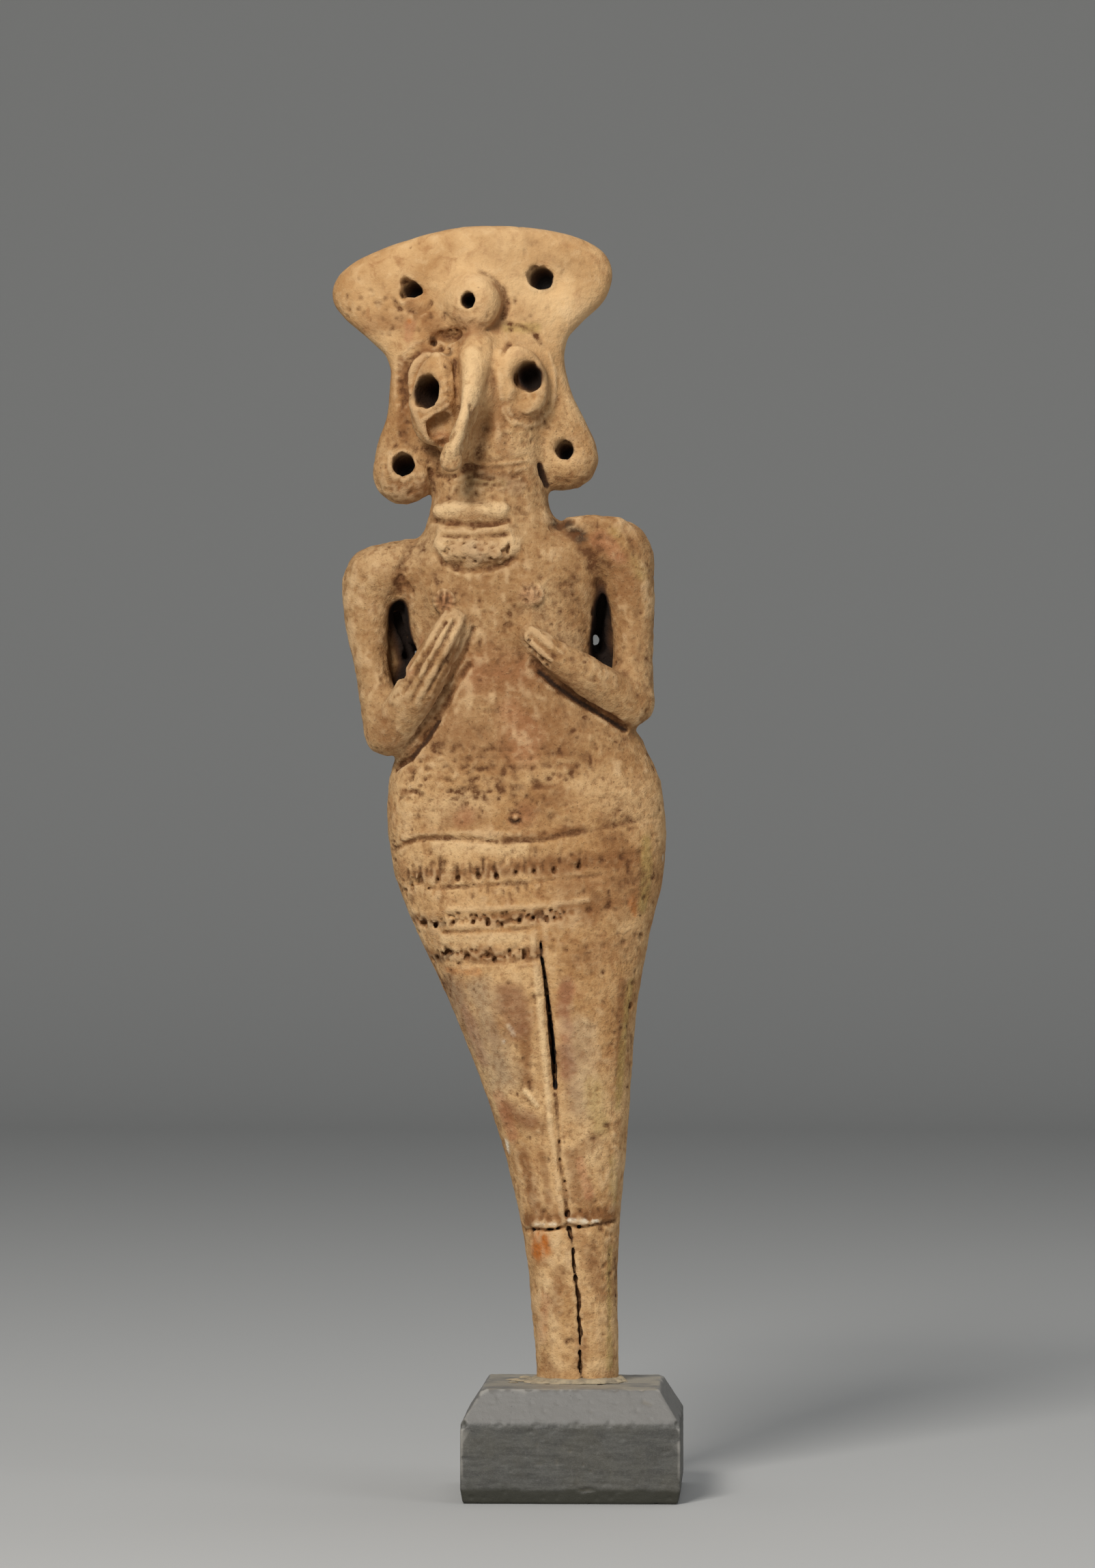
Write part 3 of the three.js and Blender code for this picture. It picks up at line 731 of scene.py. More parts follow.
def hole(place, radius, depth, inwards, tall=1.0, turn=0.0, lobes=(), dark=1.0, pierced=False):
    """A hole in place of the frame's, shut some way in by a plug of clay, with painted shade down its
    hollow. Lengths are in pixels.

    Lobes are the places and sizes, from its middle, of the bites that make its mouth ragged. A pierced
    hole shows at the back too, as a shallow one where the stick came out.
    """
    mouth, thick = level(place, radius * 1.5)
    inwards = unit(inwards)

    width = pixels(radius)

    # a plug of clay that shuts the frame's hole from just inside one face to just inside the other
    stopper = width * 1.4
    near, far = stopper + 0.2, max(thick / inwards[1] - stopper - 0.3, stopper + 0.25)
    clay.add(thread([mouth + inwards * near, mouth + inwards * far], stopper), soft=0.4)

    # the hollow at the front, and its ragged mouth
    reach = min(pixels(depth), thick * 0.75)
    radii = width, pixels(radius * tall), reach * 0.8
    clay.cut(ball(mouth + inwards * reach * 0.2, radii, -inwards, turn))
    if not lobes:
        turns = np.linspace(0, 2 * math.pi, 7, endpoint=False) + chance.uniform(0, 1)
        bites = radius * chance.uniform(0.25, 0.5, 7)
        inset = bites * 0.75
        lobes = zip(np.cos(turns) * (radius - inset), np.sin(turns) * (radius * tall - inset), bites)
    for across, down, bite in lobes:
        size = pixels(bite)
        middle = mouth + pixels(np.array([across, 0, -down])) + inwards * size * 0.6
        clay.cut(ball(middle, (size, size, size * 2.2), -inwards), soft=0.3)
    depths = np.linspace(width * 0.9, reach, 4)[:, None]
    # painted shade down the hollow, as dark as the dark share
    painted_shade_lines.append((mouth + inwards * depths, width * (0.35 + tall), dark))
    if pierced:
        way_out = mouth + inwards * thick / inwards[1]
        ways_out.append(way_out)
        clay.cut(ball(way_out, (width * 0.8, width * 0.9, thick * 0.2), inwards), soft=0.2)
        # painted shade in the shallow hole at the back
        painted_shade_lines.append((way_out - inwards * np.array([[0.7], [1.2]]), width * 0.9, 0.85))


def gouge(place, shift, radii, soft, facing=(0, -1, 0), turn=0.0):
    """A hollow of three radii beside a place on the skin. The lengths are in millimetres."""
    clay.cut(ball(clay.skin(place) + shift, radii, facing, turn), soft=soft)


def lump(place, radius, height, flat=0.6):
    """A crumb or lump of clay standing on the skin."""
    clay.add(ball(clay.skin(place) - (0, pixels(height - radius * flat), 0),
                  (pixels(radius), pixels(radius), pixels(radius * flat))), soft=0.25)


def scatter(count, corner, far_corner, width, depth):
    """Small pits strewn over a patch of the photograph's frame, where there is clay."""
    points, found = clay.seen(chance.uniform(corner, far_corner, (count, 2)))
    for point, size in zip(points[found], chance.uniform(0.6, 1.4, count)):
        clay.raise_skin(point, pixels(width * size), -pixels(depth * size))


# Directions into the head, for the sticks that pierced it
CREST_IN = (0.34, 1, -0.34)
EAR_IN = (0.3, 1, -0.38)
KNOB_IN = (0.25, 1, -0.06)
RIGHT_EYE_IN = (0.42, 1, -0.1)
LEFT_EYE_IN = (0.1, 1, -0.05)

# Each part of the figure names the pixels of its marks first, and then makes the marks in order.
# Marks that one tool makes in a row are named together, each with what the tool is told.

def many(tool, marks):
    """Uses one tool for a row of marks."""
    for mark in marks:
        tool(*mark)


# Marks on the head

def fan():
    """The pierced crest, with the lips pushed up under its holes and the rough join below."""
    right_hole, left_hole, crumb, speck = (600, 421), (789, 405), (790, 387), (600, 362)
    ragged_mouth = (-7, -9, 7), (11, 2, 6), (-9, 8, 6.5), (3, 9, 6)
    lips = (([(772, 417), (780, 424), (792, 426), (803, 421), (808, 410)], 6, 2.5),
            ([(588, 443), (602, 440), (616, 443)], 9, 5))
    folds = ([(580, 444), (586, 452)], 7, 7), ([(601, 455), (613, 457), (624, 451), (629, 444)], 7, 8)
    pitted = ((60, (505, 425), (610, 500), 4, 2.0), (22, (560, 455), (640, 500), 5, 3),
              (20, (740, 430), (850, 500), 4, 1.6), (20, (540, 350), (860, 400), 3.5, 1.2))
    hole(right_hole, 12.5, 60, CREST_IN, lobes=ragged_mouth, pierced=True)
    hole(left_hole, 17, 60, CREST_IN, pierced=True)
    lump(crumb, 4, 0.5)
    many(ridge, lips)
    many(groove, folds)
    many(scatter, pitted)
    prick(speck, 1.6, 3)


def knob():
    """The forehead knob, pierced, with the torn furrow under it."""
    middle, crown, bore, furrow = (690, 442), (690, 440), (685, 439), (656, 493)
    rims = (([(650, 425), (660, 408), (678, 398)], 8, 1.5),
            ([(706, 398), (724, 407), (738, 424), (744, 444), (738, 464)], 8, 4),
            ([(664, 452), (673, 458), (686, 459), (698, 454)], 5, 2))
    below_furrow = [(634, 499), (642, 504), (651, 511), (658, 517)]
    deep_stabs = ((636, 501), 4, 9), ((655, 514), 5, 11)
    small_stab = (645, 507)
    by_furrow, under_knob = ((630, 482), (684, 512)), ((640, 455), (720, 485))
    pit(middle, 46, 3)
    rub(crown, 5.8, 0.6)
    many(groove, rims)
    hole(bore, 10.5, 40, KNOB_IN, tall=1.1)
    gouge(furrow, (0, 0.2, 0), (2.6, 0.9, 1.3), soft=0.9)
    groove(below_furrow, 8, 8)
    scatter(40, *by_furrow, 4.5, 4)
    for place, radius, depth in deep_stabs:
        prick(place, radius, depth, dark=0.9)
    prick(small_stab, 3, 6)
    scatter(40, *under_knob, 4, 2)


def right_eye():
    """The pressed-on ring, its pupil, and the bar across its lower end."""
    outline = [(591, 585), (590, 560), (593, 540), (602, 523), (614, 512), (630, 507), (648, 511)]
    rim = [(640, 520), (624, 519), (611, 530), (602, 549), (601, 572), (605, 596), (616, 620),
           (630, 642), (645, 655), (658, 654)]
    in_rim = [(594, 560), (597, 541), (604, 527), (613, 518)]
    pupil, lower_hollow = (622, 573), (646, 626)
    bar = [(620, 615), (630, 609), (642, 602), (655, 593)]
    corners = (([(640, 646), (650, 651), (660, 647), (665, 636)], 5, 7),
               ([(654, 535), (661, 545), (657, 553)], 5, 5))
    pitted = (26, (645, 535), (668, 590), 4, 2.6), (80, (583, 520), (601, 640), 4.5, 2.8)
    groove(outline, 12, 8)
    ridge(rim, 9, 6)
    groove(in_rim, 5, 5)
    hole(pupil, 20, 75, RIGHT_EYE_IN, tall=1.25, turn=26, dark=0.8)
    gouge(lower_hollow, (0, -0.1, 0), (2.0, 2.5, 1.6), soft=0.3, facing=(-0.1, -1, 0.1), turn=14)
    ridge(bar, 4.5, 9)
    many(groove, corners)
    many(scatter, pitted)


def nose():
    """The pinched beak, whose flank the fingers hollowed and whose tip is bent to the figure's right."""
    root, left_side = (690, 508), ((710, 524), (711, 548), (708, 574))
    flank, tip_pixel = ((698, 608), (694, 628), (689, 650), (684, 668)), (666, 660)
    smoothed = ((664, 662), 2.6, 0.6), ((708, 596), 2.8, 0.8), ((704, 640), 2.4, 0.6)
    nostrils = (648, 668), (656, 680), (664, 676), (645, 676)
    under_tip = [(680, 668), (684, 684)]
    edges = (([(684, 522), (684, 548), (683, 574)], 28, 4),
             ([(684, 570), (680, 600), (675, 622), (671, 642), (664, 660)], 11, 4))
    creases = (([(665, 526), (667, 556), (669, 585)], 4.5, 4),
               ([(690, 596), (690, 618), (685, 642), (678, 662)], 6, 6),
               ([(670, 506), (688, 503), (706, 512)], 6, 1.5),
               ([(630, 688), (640, 696), (656, 699), (672, 695), (682, 684)], 6, 7))
    round_tip = (636, 655), (672, 686)
    rub(root, 3.6, 0.8)
    for place in left_side:
        rub(place, 4.6, 2.0, filling=True)
    for shift, girth in ((0, 1.2), (9, 1.1), (17, 0.9)):
        hollow = clay.skins([(x + shift, y) for x, y in flank])
        clay.cut(thread(hollow + (0.1, 0.1, 0), np.array([0.6, 1.0, 1.0, 0.9]) * girth), soft=1.2)
    tip = clay.skin(tip_pixel)
    clay.cut(ball(tip + (0.9, -0.3, -1.0), (1.2, 1.4, 1.0)), soft=0.9)
    clay.add(ball(tip + (-0.5, 1.1, -1.15), (1.55, 1.8, 1.3), turn=-14), soft=1.4)
    many(rub, smoothed)
    for place in nostrils:
        pit(place, 6, 3)
    clay.cut(thread(clay.skins(under_tip) + (0.3, -0.2, -0.3), 0.9), soft=0.8)
    many(ridge, edges)
    many(groove, creases)
    scatter(24, *round_tip, 4, 1.8)


def left_eye():
    """The pressed-on ring, its pupil, and the brow line over it."""
    socket, pupil, inner, nick = (772, 556), (775, 551), (764, 588), (781, 579)
    rims = (([(733, 515), (730, 548), (734, 582)], 8, 3.5),
            ([(740, 600), (751, 617), (770, 624), (790, 617), (804, 602), (811, 580)], 8, 5),
            ([(804, 520), (812, 545), (812, 572)], 6, 3))
    brow = (([(741, 473), (763, 477), (781, 487), (793, 503)], 5, 2.5),
            ([(735, 519), (740, 511), (747, 503)], 5, 7))
    creases = (([(740, 600), (744, 608), (750, 616)], 4, 7),
               ([(748, 588), (756, 601), (770, 609), (786, 604)], 4, 3),
               ([(792, 606), (800, 619), (807, 630)], 4, 3),
               ([(722, 545), (727, 580), (736, 620), (741, 650)], 8, 3))
    cheek = (735, 590), (810, 650)
    rub(socket, 7.5, 0.9)
    many(ridge, rims)
    many(groove, brow)
    pit(inner, 22, 8)
    hole(pupil, 15, 60, LEFT_EYE_IN, tall=1.5, turn=26, dark=0.85)
    gouge(nick, (0, -0.1, 0), (0.4, 0.7, 0.7), soft=0.3)
    many(groove, creases)
    scatter(50, *cheek, 4, 2.2)


def ears():
    """The pierced lobes, and the nick beside the left one."""
    right_hole, left_hole = (589, 679), (825, 656)
    right_lip = [(573, 662), (571, 680), (577, 696), (590, 702), (604, 696)]
    stabs = ((833, 649), 5, 10), ((817, 663), 4.5, 9)
    notch_pixels = [(789, 682), (793, 696), (799, 710)]
    pitted = (90, (550, 645), (628, 732), 4.5, 2.2), (30, (800, 620), (870, 710), 4, 1.4)
    neck_edge = [(630, 690), (633, 712), (634, 730)]
    hole(right_hole, 14.5, 70, EAR_IN, tall=1.2, pierced=True)
    ridge(right_lip, 7, 3)
    hole(left_hole, 12, 70, EAR_IN, tall=1.1, pierced=True)
    many(prick, stabs)
    notch = clay.skins(notch_pixels) + (0, 0.3, 0)
    clay.cut(thread(notch, [0.45, 0.55, 0.35]), soft=0.35)
    # painted shade in the notch
    painted_shade_lines.append((notch + (0, 0.4, 0), 0.75, 0.7))
    many(scatter, pitted)
    groove(neck_edge, 7, 6)


def throat():
    """The neck's level folds and the choker of three rolls, the lowest one pricked and crumbled."""
    fold_columns = (690, 0), (716, 3), (745, 1), (772, -4)
    folds = (672, 2.5), (683, 3.5), (697, 3), (708, 2)
    pitted = (655, 690), (770, 730)
    roll_ends = (653, 803), (741, 803)
    top_roll = [(640, 747), (662, 742), (690, 744), (715, 746), (738, 743)]
    under_top_roll = [(636, 762), (655, 765), (690, 768), (720, 768), (746, 762)]
    middle_roll = [(643, 777), (690, 779), (742, 773)]
    under_middle_roll = [(646, 786), (690, 788), (744, 783)]
    low_roll = [(644, 798), (672, 809), (700, 812), (728, 808), (750, 797)]
    under_low_roll = [(636, 806), (648, 822), (676, 835), (702, 834), (728, 830), (754, 817)]
    pricked_corner, crumbled_corner = (648, 789), (650, 792)
    left_tendon = [(724, 690), (742, 708), (757, 735), (766, 765)]
    for row, drop in folds:
        groove([(x, row + sag) for x, sag in fold_columns], 5, drop)
    scatter(110, *pitted, 4.5, 2.6)
    for place in roll_ends:
        rub(place, 1.6, 0.8)
    ridge(top_roll, 12, 6)
    groove(under_top_roll, 6, 9)
    ridge(middle_roll, 6, 4)
    groove(under_middle_roll, 4, 4)
    ridge(low_roll, 18, 7)
    groove(under_low_roll, 7, 8)
    for _ in range(46):
        across, down = chance.uniform(0, 1, 2)
        bow = 1 - (2 * across - 1) ** 2
        place = pricked_corner[0] + 98 * across, pricked_corner[1] + (20 + 16 * bow) * down
        prick(place, chance.uniform(2, 3.4), 4, tall=0.8, dark=0.1)
    for _ in range(40):
        across, down = chance.uniform(0, 1, 2)
        place = crumbled_corner[0] + 94 * across, crumbled_corner[1] + 30 * down
        lump(place, chance.uniform(2.5, 5), 1.8)
    groove(left_tendon, 14, 2)


# Marks on the trunk and arms

def breasts():
    """The two buttons, cut round their edges like petals and scored twice in the middle."""
    right, left = (650, 880), (779, 870)
    left_stabs = (768, 862), (785, 860), (792, 870), (770, 880)
    for (x, y), petals, rise in ((right, 9, 7), (left, 7, 4)):
        lump((x, y), 18, rise, flat=0.4)
        for turn in np.linspace(0, 2 * math.pi, petals, endpoint=False) + 0.3:
            inner, outer = chance.uniform(9, 11), chance.uniform(15, 18)
            scored([(x + inner * math.cos(turn), y + inner * math.sin(turn)),
                    (x + outer * math.cos(turn), y + outer * math.sin(turn))], 4, 3.5, 0.25)
        scored([(x - 4, y - 12), (x - 5, y + 4)], 3.6, 4, 0.3)
        scored([(x + 5, y - 12), (x + 4, y + 4)], 3.6, 4, 0.3)
    rub(left, 2.6, 0.35)
    for place in left_stabs:
        prick(place, 2.4, 5, dark=0.35)


def hands():
    """The fingers and the gaps between them, and the creases under the forearms."""
    right_gaps = ([(652, 911), (630, 951), (606, 989), (590, 1015)],
                  [(667, 908), (644, 951), (620, 994), (602, 1028)],
                  [(682, 911), (663, 951), (640, 989), (620, 1026)],
                  [(694, 920), (678, 962), (655, 1005)])
    right_fingers = ([(645, 912), (625, 946), (602, 980)], [(660, 908), (638, 949), (615, 990)],
                     [(675, 909), (654, 950), (631, 991)], [(689, 914), (670, 956), (648, 997)])
    right_wrist = [(655, 1005), (640, 1030), (618, 1062), (600, 1088)]
    left_gaps = [(812, 962), (795, 947), (777, 931)], [(804, 972), (784, 955), (768, 940)]
    left_fingers = [(820, 956), (800, 938), (779, 920)], [(808, 967), (789, 950), (770, 932)]
    fingertips = (776, 948), (783, 958), (792, 966), (801, 975), (774, 938)
    forearms = (([(686, 974), (662, 1012), (640, 1055), (620, 1086), (603, 1108), (578, 1127)], 8, 10),
                ([(784, 972), (797, 987), (815, 1002), (845, 1022), (880, 1043), (915, 1066)], 12, 11))
    deep_creases = (([(790, 984), (812, 1003), (845, 1026), (880, 1047), (915, 1069)], 6, 8, 0.75),
                    ([(644, 1056), (624, 1086), (606, 1108), (588, 1122)], 6, 5, 0.6))
    for gap in right_gaps:
        groove(gap, 4.5, 6)
    for finger in right_fingers:
        ridge(finger, 5.5, 3.5)
    groove(right_wrist, 7, 4)
    for gap in left_gaps:
        groove(gap, 5, 7)
    for finger in left_fingers:
        ridge(finger, 6, 5)
    for place in fingertips:
        prick(place, 3, 7)
    many(groove, forearms)
    many(scored, deep_creases)


def armpits():
    """The gaps between the arms and the trunk, darkened with painted shade, and the folds that run up from
    them.
    """
    gaps = ([(580, 900), (591, 928), (598, 958), (592, 990)],
            [(884, 872), (877, 905), (877, 945), (884, 970)])
    shaded = ([(590, 895), (598, 930), (604, 970), (592, 1006)],
              [(878, 874), (871, 905), (871, 945), (881, 982)])
    openings = (872, 938), (608, 955)
    left_shoulder = [(838, 772), (868, 769), (902, 773)]
    folds = (([(808, 772), (822, 765), (836, 764)], 9, 8),
             ([(822, 770), (846, 792), (866, 822), (880, 858)], 14, 5),
             ([(604, 792), (590, 830), (580, 868)], 13, 5))
    dents = (588, 845), (596, 858), (604, 866), (594, 834), (585, 858)
    for line in gaps:
        clay.cut(thread(clay.skins(line) + (0, 1.0, 0), pixels(9)), soft=0.5)
    # painted shade down the gaps, only on skin that faces the front
    for line in shaded:
        points = clay.skins(line)
        for depth in (1.7, 3.3):
            points[:, 1] = depth
            painted_shade_lines_in_front.append((points.copy(), 3.3, 0.86))
    for column, row in openings:
        across, up = pixels(column - FOOT_PIXEL[0]), pixels(FOOT_PIXEL[1] - row)
        ways_out.append(np.array([across, BACK_OF_ARMS, up]))
    clay.add(thread(clay.skins(left_shoulder) + (0, 0.8, 0), 1.5), soft=1.2)
    many(groove, folds)
    for place in dents:
        pit(place, 6, 5)


def waist():
    """Fine level rows of stippling between the arms and the navel, and the navel itself."""
    stippled = (((630, 1100), (830, 1096), 2.2), ((612, 1113), (846, 1106), 2.4),
                ((600, 1127), (850, 1122), 3.4), ((596, 1142), (840, 1138), 2.4),
                ((590, 1160), (800, 1152), 3.8), ((596, 1172), (720, 1168), 2))
    stabs = (786, 1176), (780, 1172), (772, 1166), (695, 1178), (706, 1187), (730, 1170)
    navel = (755, 1197)
    for left, right, strength in stippled:
        for share in chance.uniform(0, 1, int((right[0] - left[0]) / 7)):
            x = left[0] + share * (right[0] - left[0])
            y = left[1] + share * (right[1] - left[1]) + chance.normal(0, 2.2)
            along = chance.uniform(0, 7)
            groove([(x, y), (x + along, y + chance.uniform(-2, 2))], chance.uniform(3.5, 5),
                   strength * chance.uniform(0.4, 1.2) * (1 - 0.4 * share))
    for place in stabs:
        prick(place, 2, 3, dark=0.25)
    turns = np.linspace(0, 2 * math.pi, 13)
    groove([(navel[0] + 8 * math.cos(t), navel[1] + 8 * math.sin(t)) for t in turns], 5, 5)
    scored([(navel[0] + 7 * math.cos(t), navel[1] + 7 * math.sin(t)) for t in turns[1:6]], 4, 4, 0.6)
    lump(navel, 4, 2.5)


def belts():
    """Three pricked rows between drawn lines. Each fades towards the figure's left, where it is worn."""
    waist_line = (([(577, 1243), (590, 1237), (613, 1228), (650, 1228), (690, 1230), (728, 1233)], 5, 8),
                  ([(738, 1232), (771, 1231), (796, 1230), (820, 1223), (845, 1218)], 6, 5),
                  ([(845, 1218), (880, 1212), (920, 1204), (966, 1196)], 7, 2))
    over_waist_line = [(592, 1226), (640, 1218), (700, 1221), (760, 1221)]
    upper_line = (([(590, 1303), (640, 1300), (700, 1297), (760, 1293)], 4.5, 5),
                  ([(760, 1293), (820, 1288), (880, 1281)], 5, 2.5))
    raised_band = [(606, 1334), (660, 1332), (720, 1330), (790, 1326), (860, 1318)]
    lower_lines = (([(612, 1363), (660, 1365), (720, 1363), (790, 1358)], 5, 4),
                   ([(634, 1413), (680, 1410), (740, 1408), (790, 1404)], 6, 4))
    upper_row = [(603, 1297), (616, 1287), (642, 1286), (670, 1284), (700, 1280), (726, 1280), (756, 1275),
                 (782, 1274), (810, 1272), (848, 1267)]
    middle_row = [(620, 1350), (639, 1353), (666, 1350), (694, 1348), (714, 1350), (738, 1352), (762, 1346),
                  (783, 1342), (796, 1345), (811, 1342)]
    lower_row = [(640, 1402), (657, 1393), (684, 1398), (714, 1396), (723, 1403), (749, 1391), (769, 1398)]
    worn = [(880, 1260), (910, 1255), (938, 1249),
            (838, 1337), (864, 1333), (892, 1329), (921, 1322), (946, 1315),
            (806, 1389), (830, 1391), (858, 1388), (886, 1385), (914, 1380), (938, 1372)]
    deepest = (621, 1352), (639, 1355), (657, 1394), (614, 1290)
    right_edge, nick_rows = ((590, 1290), (594, 1310), (606, 1350), (634, 1405)), (1222, 1229, 1236, 1243)
    hips = (590, 1245), (950, 1420)
    many(groove, waist_line)
    ridge(over_waist_line, 8, 2.5)
    many(groove, upper_line)
    ridge(raised_band, 7, 3)
    many(groove, lower_lines)
    for row, length, slant in ((upper_row, 8, 1.5), (middle_row, 5, 4), (lower_row, 5, 4)):
        for x, y in row:
            strength = chance.uniform(0.5, 1.0) * (1 - 0.4 * ramp(x, 690, 840))
            lean, reach = chance.normal(0, slant), length * chance.uniform(0.6, 1.2)
            scored([(x - lean, y - reach), (x + lean, y + reach * 0.7)], 6, 8 * strength, 0.5 * strength)
            prick((x + lean * 0.4, y + 2), 1.8 + 1.2 * strength, 8, tall=chance.uniform(1.2, 2.2),
                  dark=0.75 * strength)
    for x, y in worn:
        pit((x + chance.uniform(-2, 2), y), 7, 4)
    for place in deepest:
        prick(place, 3.8, 10, tall=1.4, dark=0.85)
    # upright strokes under the waist line, then crowded small pricks between the deep ones
    for x in np.arange(598, 860, 9):
        x += chance.uniform(-3, 3)
        top = 1268 - 0.07 * (x - 598) + chance.uniform(-14, 10)
        fade = (1 - 0.7 * ramp(x, 700, 850)) * chance.uniform(0.3, 1.1)
        bottom = x + chance.uniform(-3, 1), top + chance.uniform(8, 24)
        scored([(x, top), bottom], 3.8, 8 * fade, 0.3 * fade)
    for x in np.arange(604, 800, 11):
        top = 1308 - 0.07 * (x - 604) + chance.uniform(-4, 12)
        bottom = x + chance.uniform(-3, 3), top + chance.uniform(6, 16)
        groove([(x, top), bottom], 4, chance.uniform(1, 4))
    for left, right, gap, row, slope, low in ((612, 830, 6.5, 1348, 0.04, 7), (634, 795, 7, 1400, 0.02, 6)):
        for x in np.arange(left, right, gap):
            y = row - slope * (x - left) + chance.uniform(-7, low)
            prick((x, y), chance.uniform(1.4, 2.4), 5, tall=1.8, dark=0.45)
    for y in nick_rows:
        groove([(573, y), (580, y + 5)], 3, 4)
    for place in right_edge:
        pit(place, 6, 5)
    scatter(220, *hips, 3.5, 1.6)


# Marks on the legs

def legs():
    """The slit between the thighs, the seam that carries it on down, and the rough crack at the feet."""
    slit_top = (789, 1352)
    slit = [(791, 1374), (793, 1395), (797, 1425), (800, 1447), (804, 1480), (807, 1512), (810, 1545),
            (812, 1570), (813, 1592)]
    slit_widths = np.array([2.8, 3.4, 3.8, 4.2, 4.8, 5.2, 5.0, 4.2, 2.6])
    banks = (([(780, 1372), (782, 1400), (787, 1450), (793, 1500), (798, 1560), (802, 1600),
               (805, 1640)], 6, 3.5),
             ([(804, 1636), (810, 1680), (814, 1720), (820, 1758), (825, 1788)], 6, 3))
    seam = [(813, 1588), (815, 1618), (818, 1650), (819, 1672), (820, 1700), (825, 1728), (829, 1760),
            (833, 1795)]
    seam_stabs = (((819, 1672), 2.0, 0.6), ((820, 1699), 1.6, 0.4), ((827, 1730), 2.4, 0.6),
                  ((829, 1744), 2.0, 0.5), ((832, 1776), 2.4, 0.6))
    crack = [(833, 1798), (837, 1812), (839, 1830), (840, 1848), (842, 1866), (845, 1888), (848, 1906),
             (847, 1926), (850, 1947), (849, 1975), (850, 1995), (851, 2014)]
    crack_widths = np.array([3.4, 2.4, 1.8, 2.6, 1.9, 2.8, 3.4, 2.0, 2.8, 1.9, 2.8, 2.4])
    points = clay.skins(slit)
    groove([slit_top] + slit, 9, 3)
    for sink in (0.1, 0.8, 1.5, 2.2, 2.9):
        clay.cut(thread(points + (0, sink, 0), pixels(slit_widths) * (1 - 0.12 * sink)), soft=0.15)
    # painted shade in the slit
    painted_shade_lines.append((points + (0, 0.9, 0), 0.75, 0.9))
    many(ridge, banks)
    for start, end in zip(seam, seam[1:]):
        scored([start, end], 5, chance.uniform(3, 7), chance.uniform(0.1, 0.26))
    for place, radius, dark in seam_stabs:
        prick(place, radius, 6, tall=chance.uniform(1, 1.8), dark=dark)
    points = clay.skins(crack)
    for sink in (0.0, 0.5, 1.0):
        clay.cut(thread(points + (0, sink, 0), pixels(crack_widths)), soft=0.15)
    # painted shade in the crack
    painted_shade_lines.append((points + (0, 0.6, 0), 0.5, 0.75))
    for place in crack[3:]:
        prick((place[0] + chance.uniform(-2, 2), place[1] + 6), chance.uniform(2.2, 3.6), 6, dark=0.5)


def mend():
    """The old break across the shins, stuck together again with plaster."""
    line = [(769, 1802), (778, 1801), (787, 1799), (797, 1801), (808, 1800), (822, 1798), (835, 1797),
            (848, 1796), (861, 1795), (874, 1792), (887, 1791), (903, 1787)]
    depths = [8, 11, 13, 12, 11, 13, 16, 15, 12, 7, 6, 8]
    gaping = ((783, 1800), (816, 1799)), ((836, 1797), (866, 1794))
    plaster = (((784, 1792), (797, 1791), 2.6), ((800, 1793), (812, 1793), 2),
               ((834, 1788), (842, 1786), 3), ((848, 1789), (856, 1790), 2.6),
               ((868, 1789), (874, 1788), 2.2))
    crumbled, stab = ((768, 1770), (900, 1812)), (830, 1778)
    for start, end, depth in zip(line, line[1:], depths):
        groove([start, end], 4.2, depth * 0.9)
    for ends in gaping:
        points = clay.skins(ends)
        clay.cut(thread(points + (0, 0.3, 0), pixels(3.0)), soft=0.15)
        # painted shade in the open parts of the break
        painted_shade_lines.append((points + (0, 0.5, 0), 0.5, 0.9))
    for start, end, girth in plaster:
        roll([start, end], girth, 1.5)
    scatter(50, *crumbled, 4.5, 3.6)
    prick(stab, 4, 7)


def chips():
    """Small losses and crumbs, and the fine pitting all over."""
    left_thigh_chip, chip_bottom, elbow_dent, by_navel = (925, 1472), (925, 1473), (880, 1060), (807, 1193)
    crumbs = (779, 1612), (738, 1525), (745, 1502), (752, 1515), (733, 1540)
    flake = [(770, 1598), (778, 1608), (786, 1617)]
    pitted = ((420, (600, 1430), (935, 1760), 3.5, 1.3), (220, (780, 1820), (905, 2010), 3.5, 1.8),
              (380, (590, 1000), (960, 1240), 3.5, 1.3), (260, (540, 830), (900, 1000), 3.5, 1.4),
              (120, (500, 800), (600, 1100), 3.5, 1.3), (120, (860, 780), (960, 1060), 3.5, 1.3))
    gouge(left_thigh_chip, (1.2, 0, 0), (0.6, 1.0, 1.0), soft=0.2)
    for place in crumbs:
        lump(place, chance.uniform(3, 5), 1.5)
    ridge(flake, 6, 6)
    prick(chip_bottom, 4, 7, dark=0.9)
    pit(elbow_dent, 5, 4)
    many(scatter, pitted)
    rub(by_navel, 1.4, 0.6)


clay.field = softened()
clay.whole = clay.field.copy()
for stage in (fan, knob, right_eye, nose, left_eye, ears, throat, breasts, hands, armpits, waist, belts,
              legs, mend, chips):
    stage()


# Heights between which one stretch of the figure passes into the next
THIGHS = (68, 82)
BELT = (84, 96)
HIPS = (90, 98)
WAIST = (96, 106)
NECK = (136, 143)
CHIN = (137, 145)
BROW = (148, 154)
CREST = (146, 160)

# How wide a hole's far end stays fine, how much of the fine clay is spared, and the darkest painted shade
WAY_OUT_REACH = 2.6
SPARED = 0.5
DARKEST = 0.97


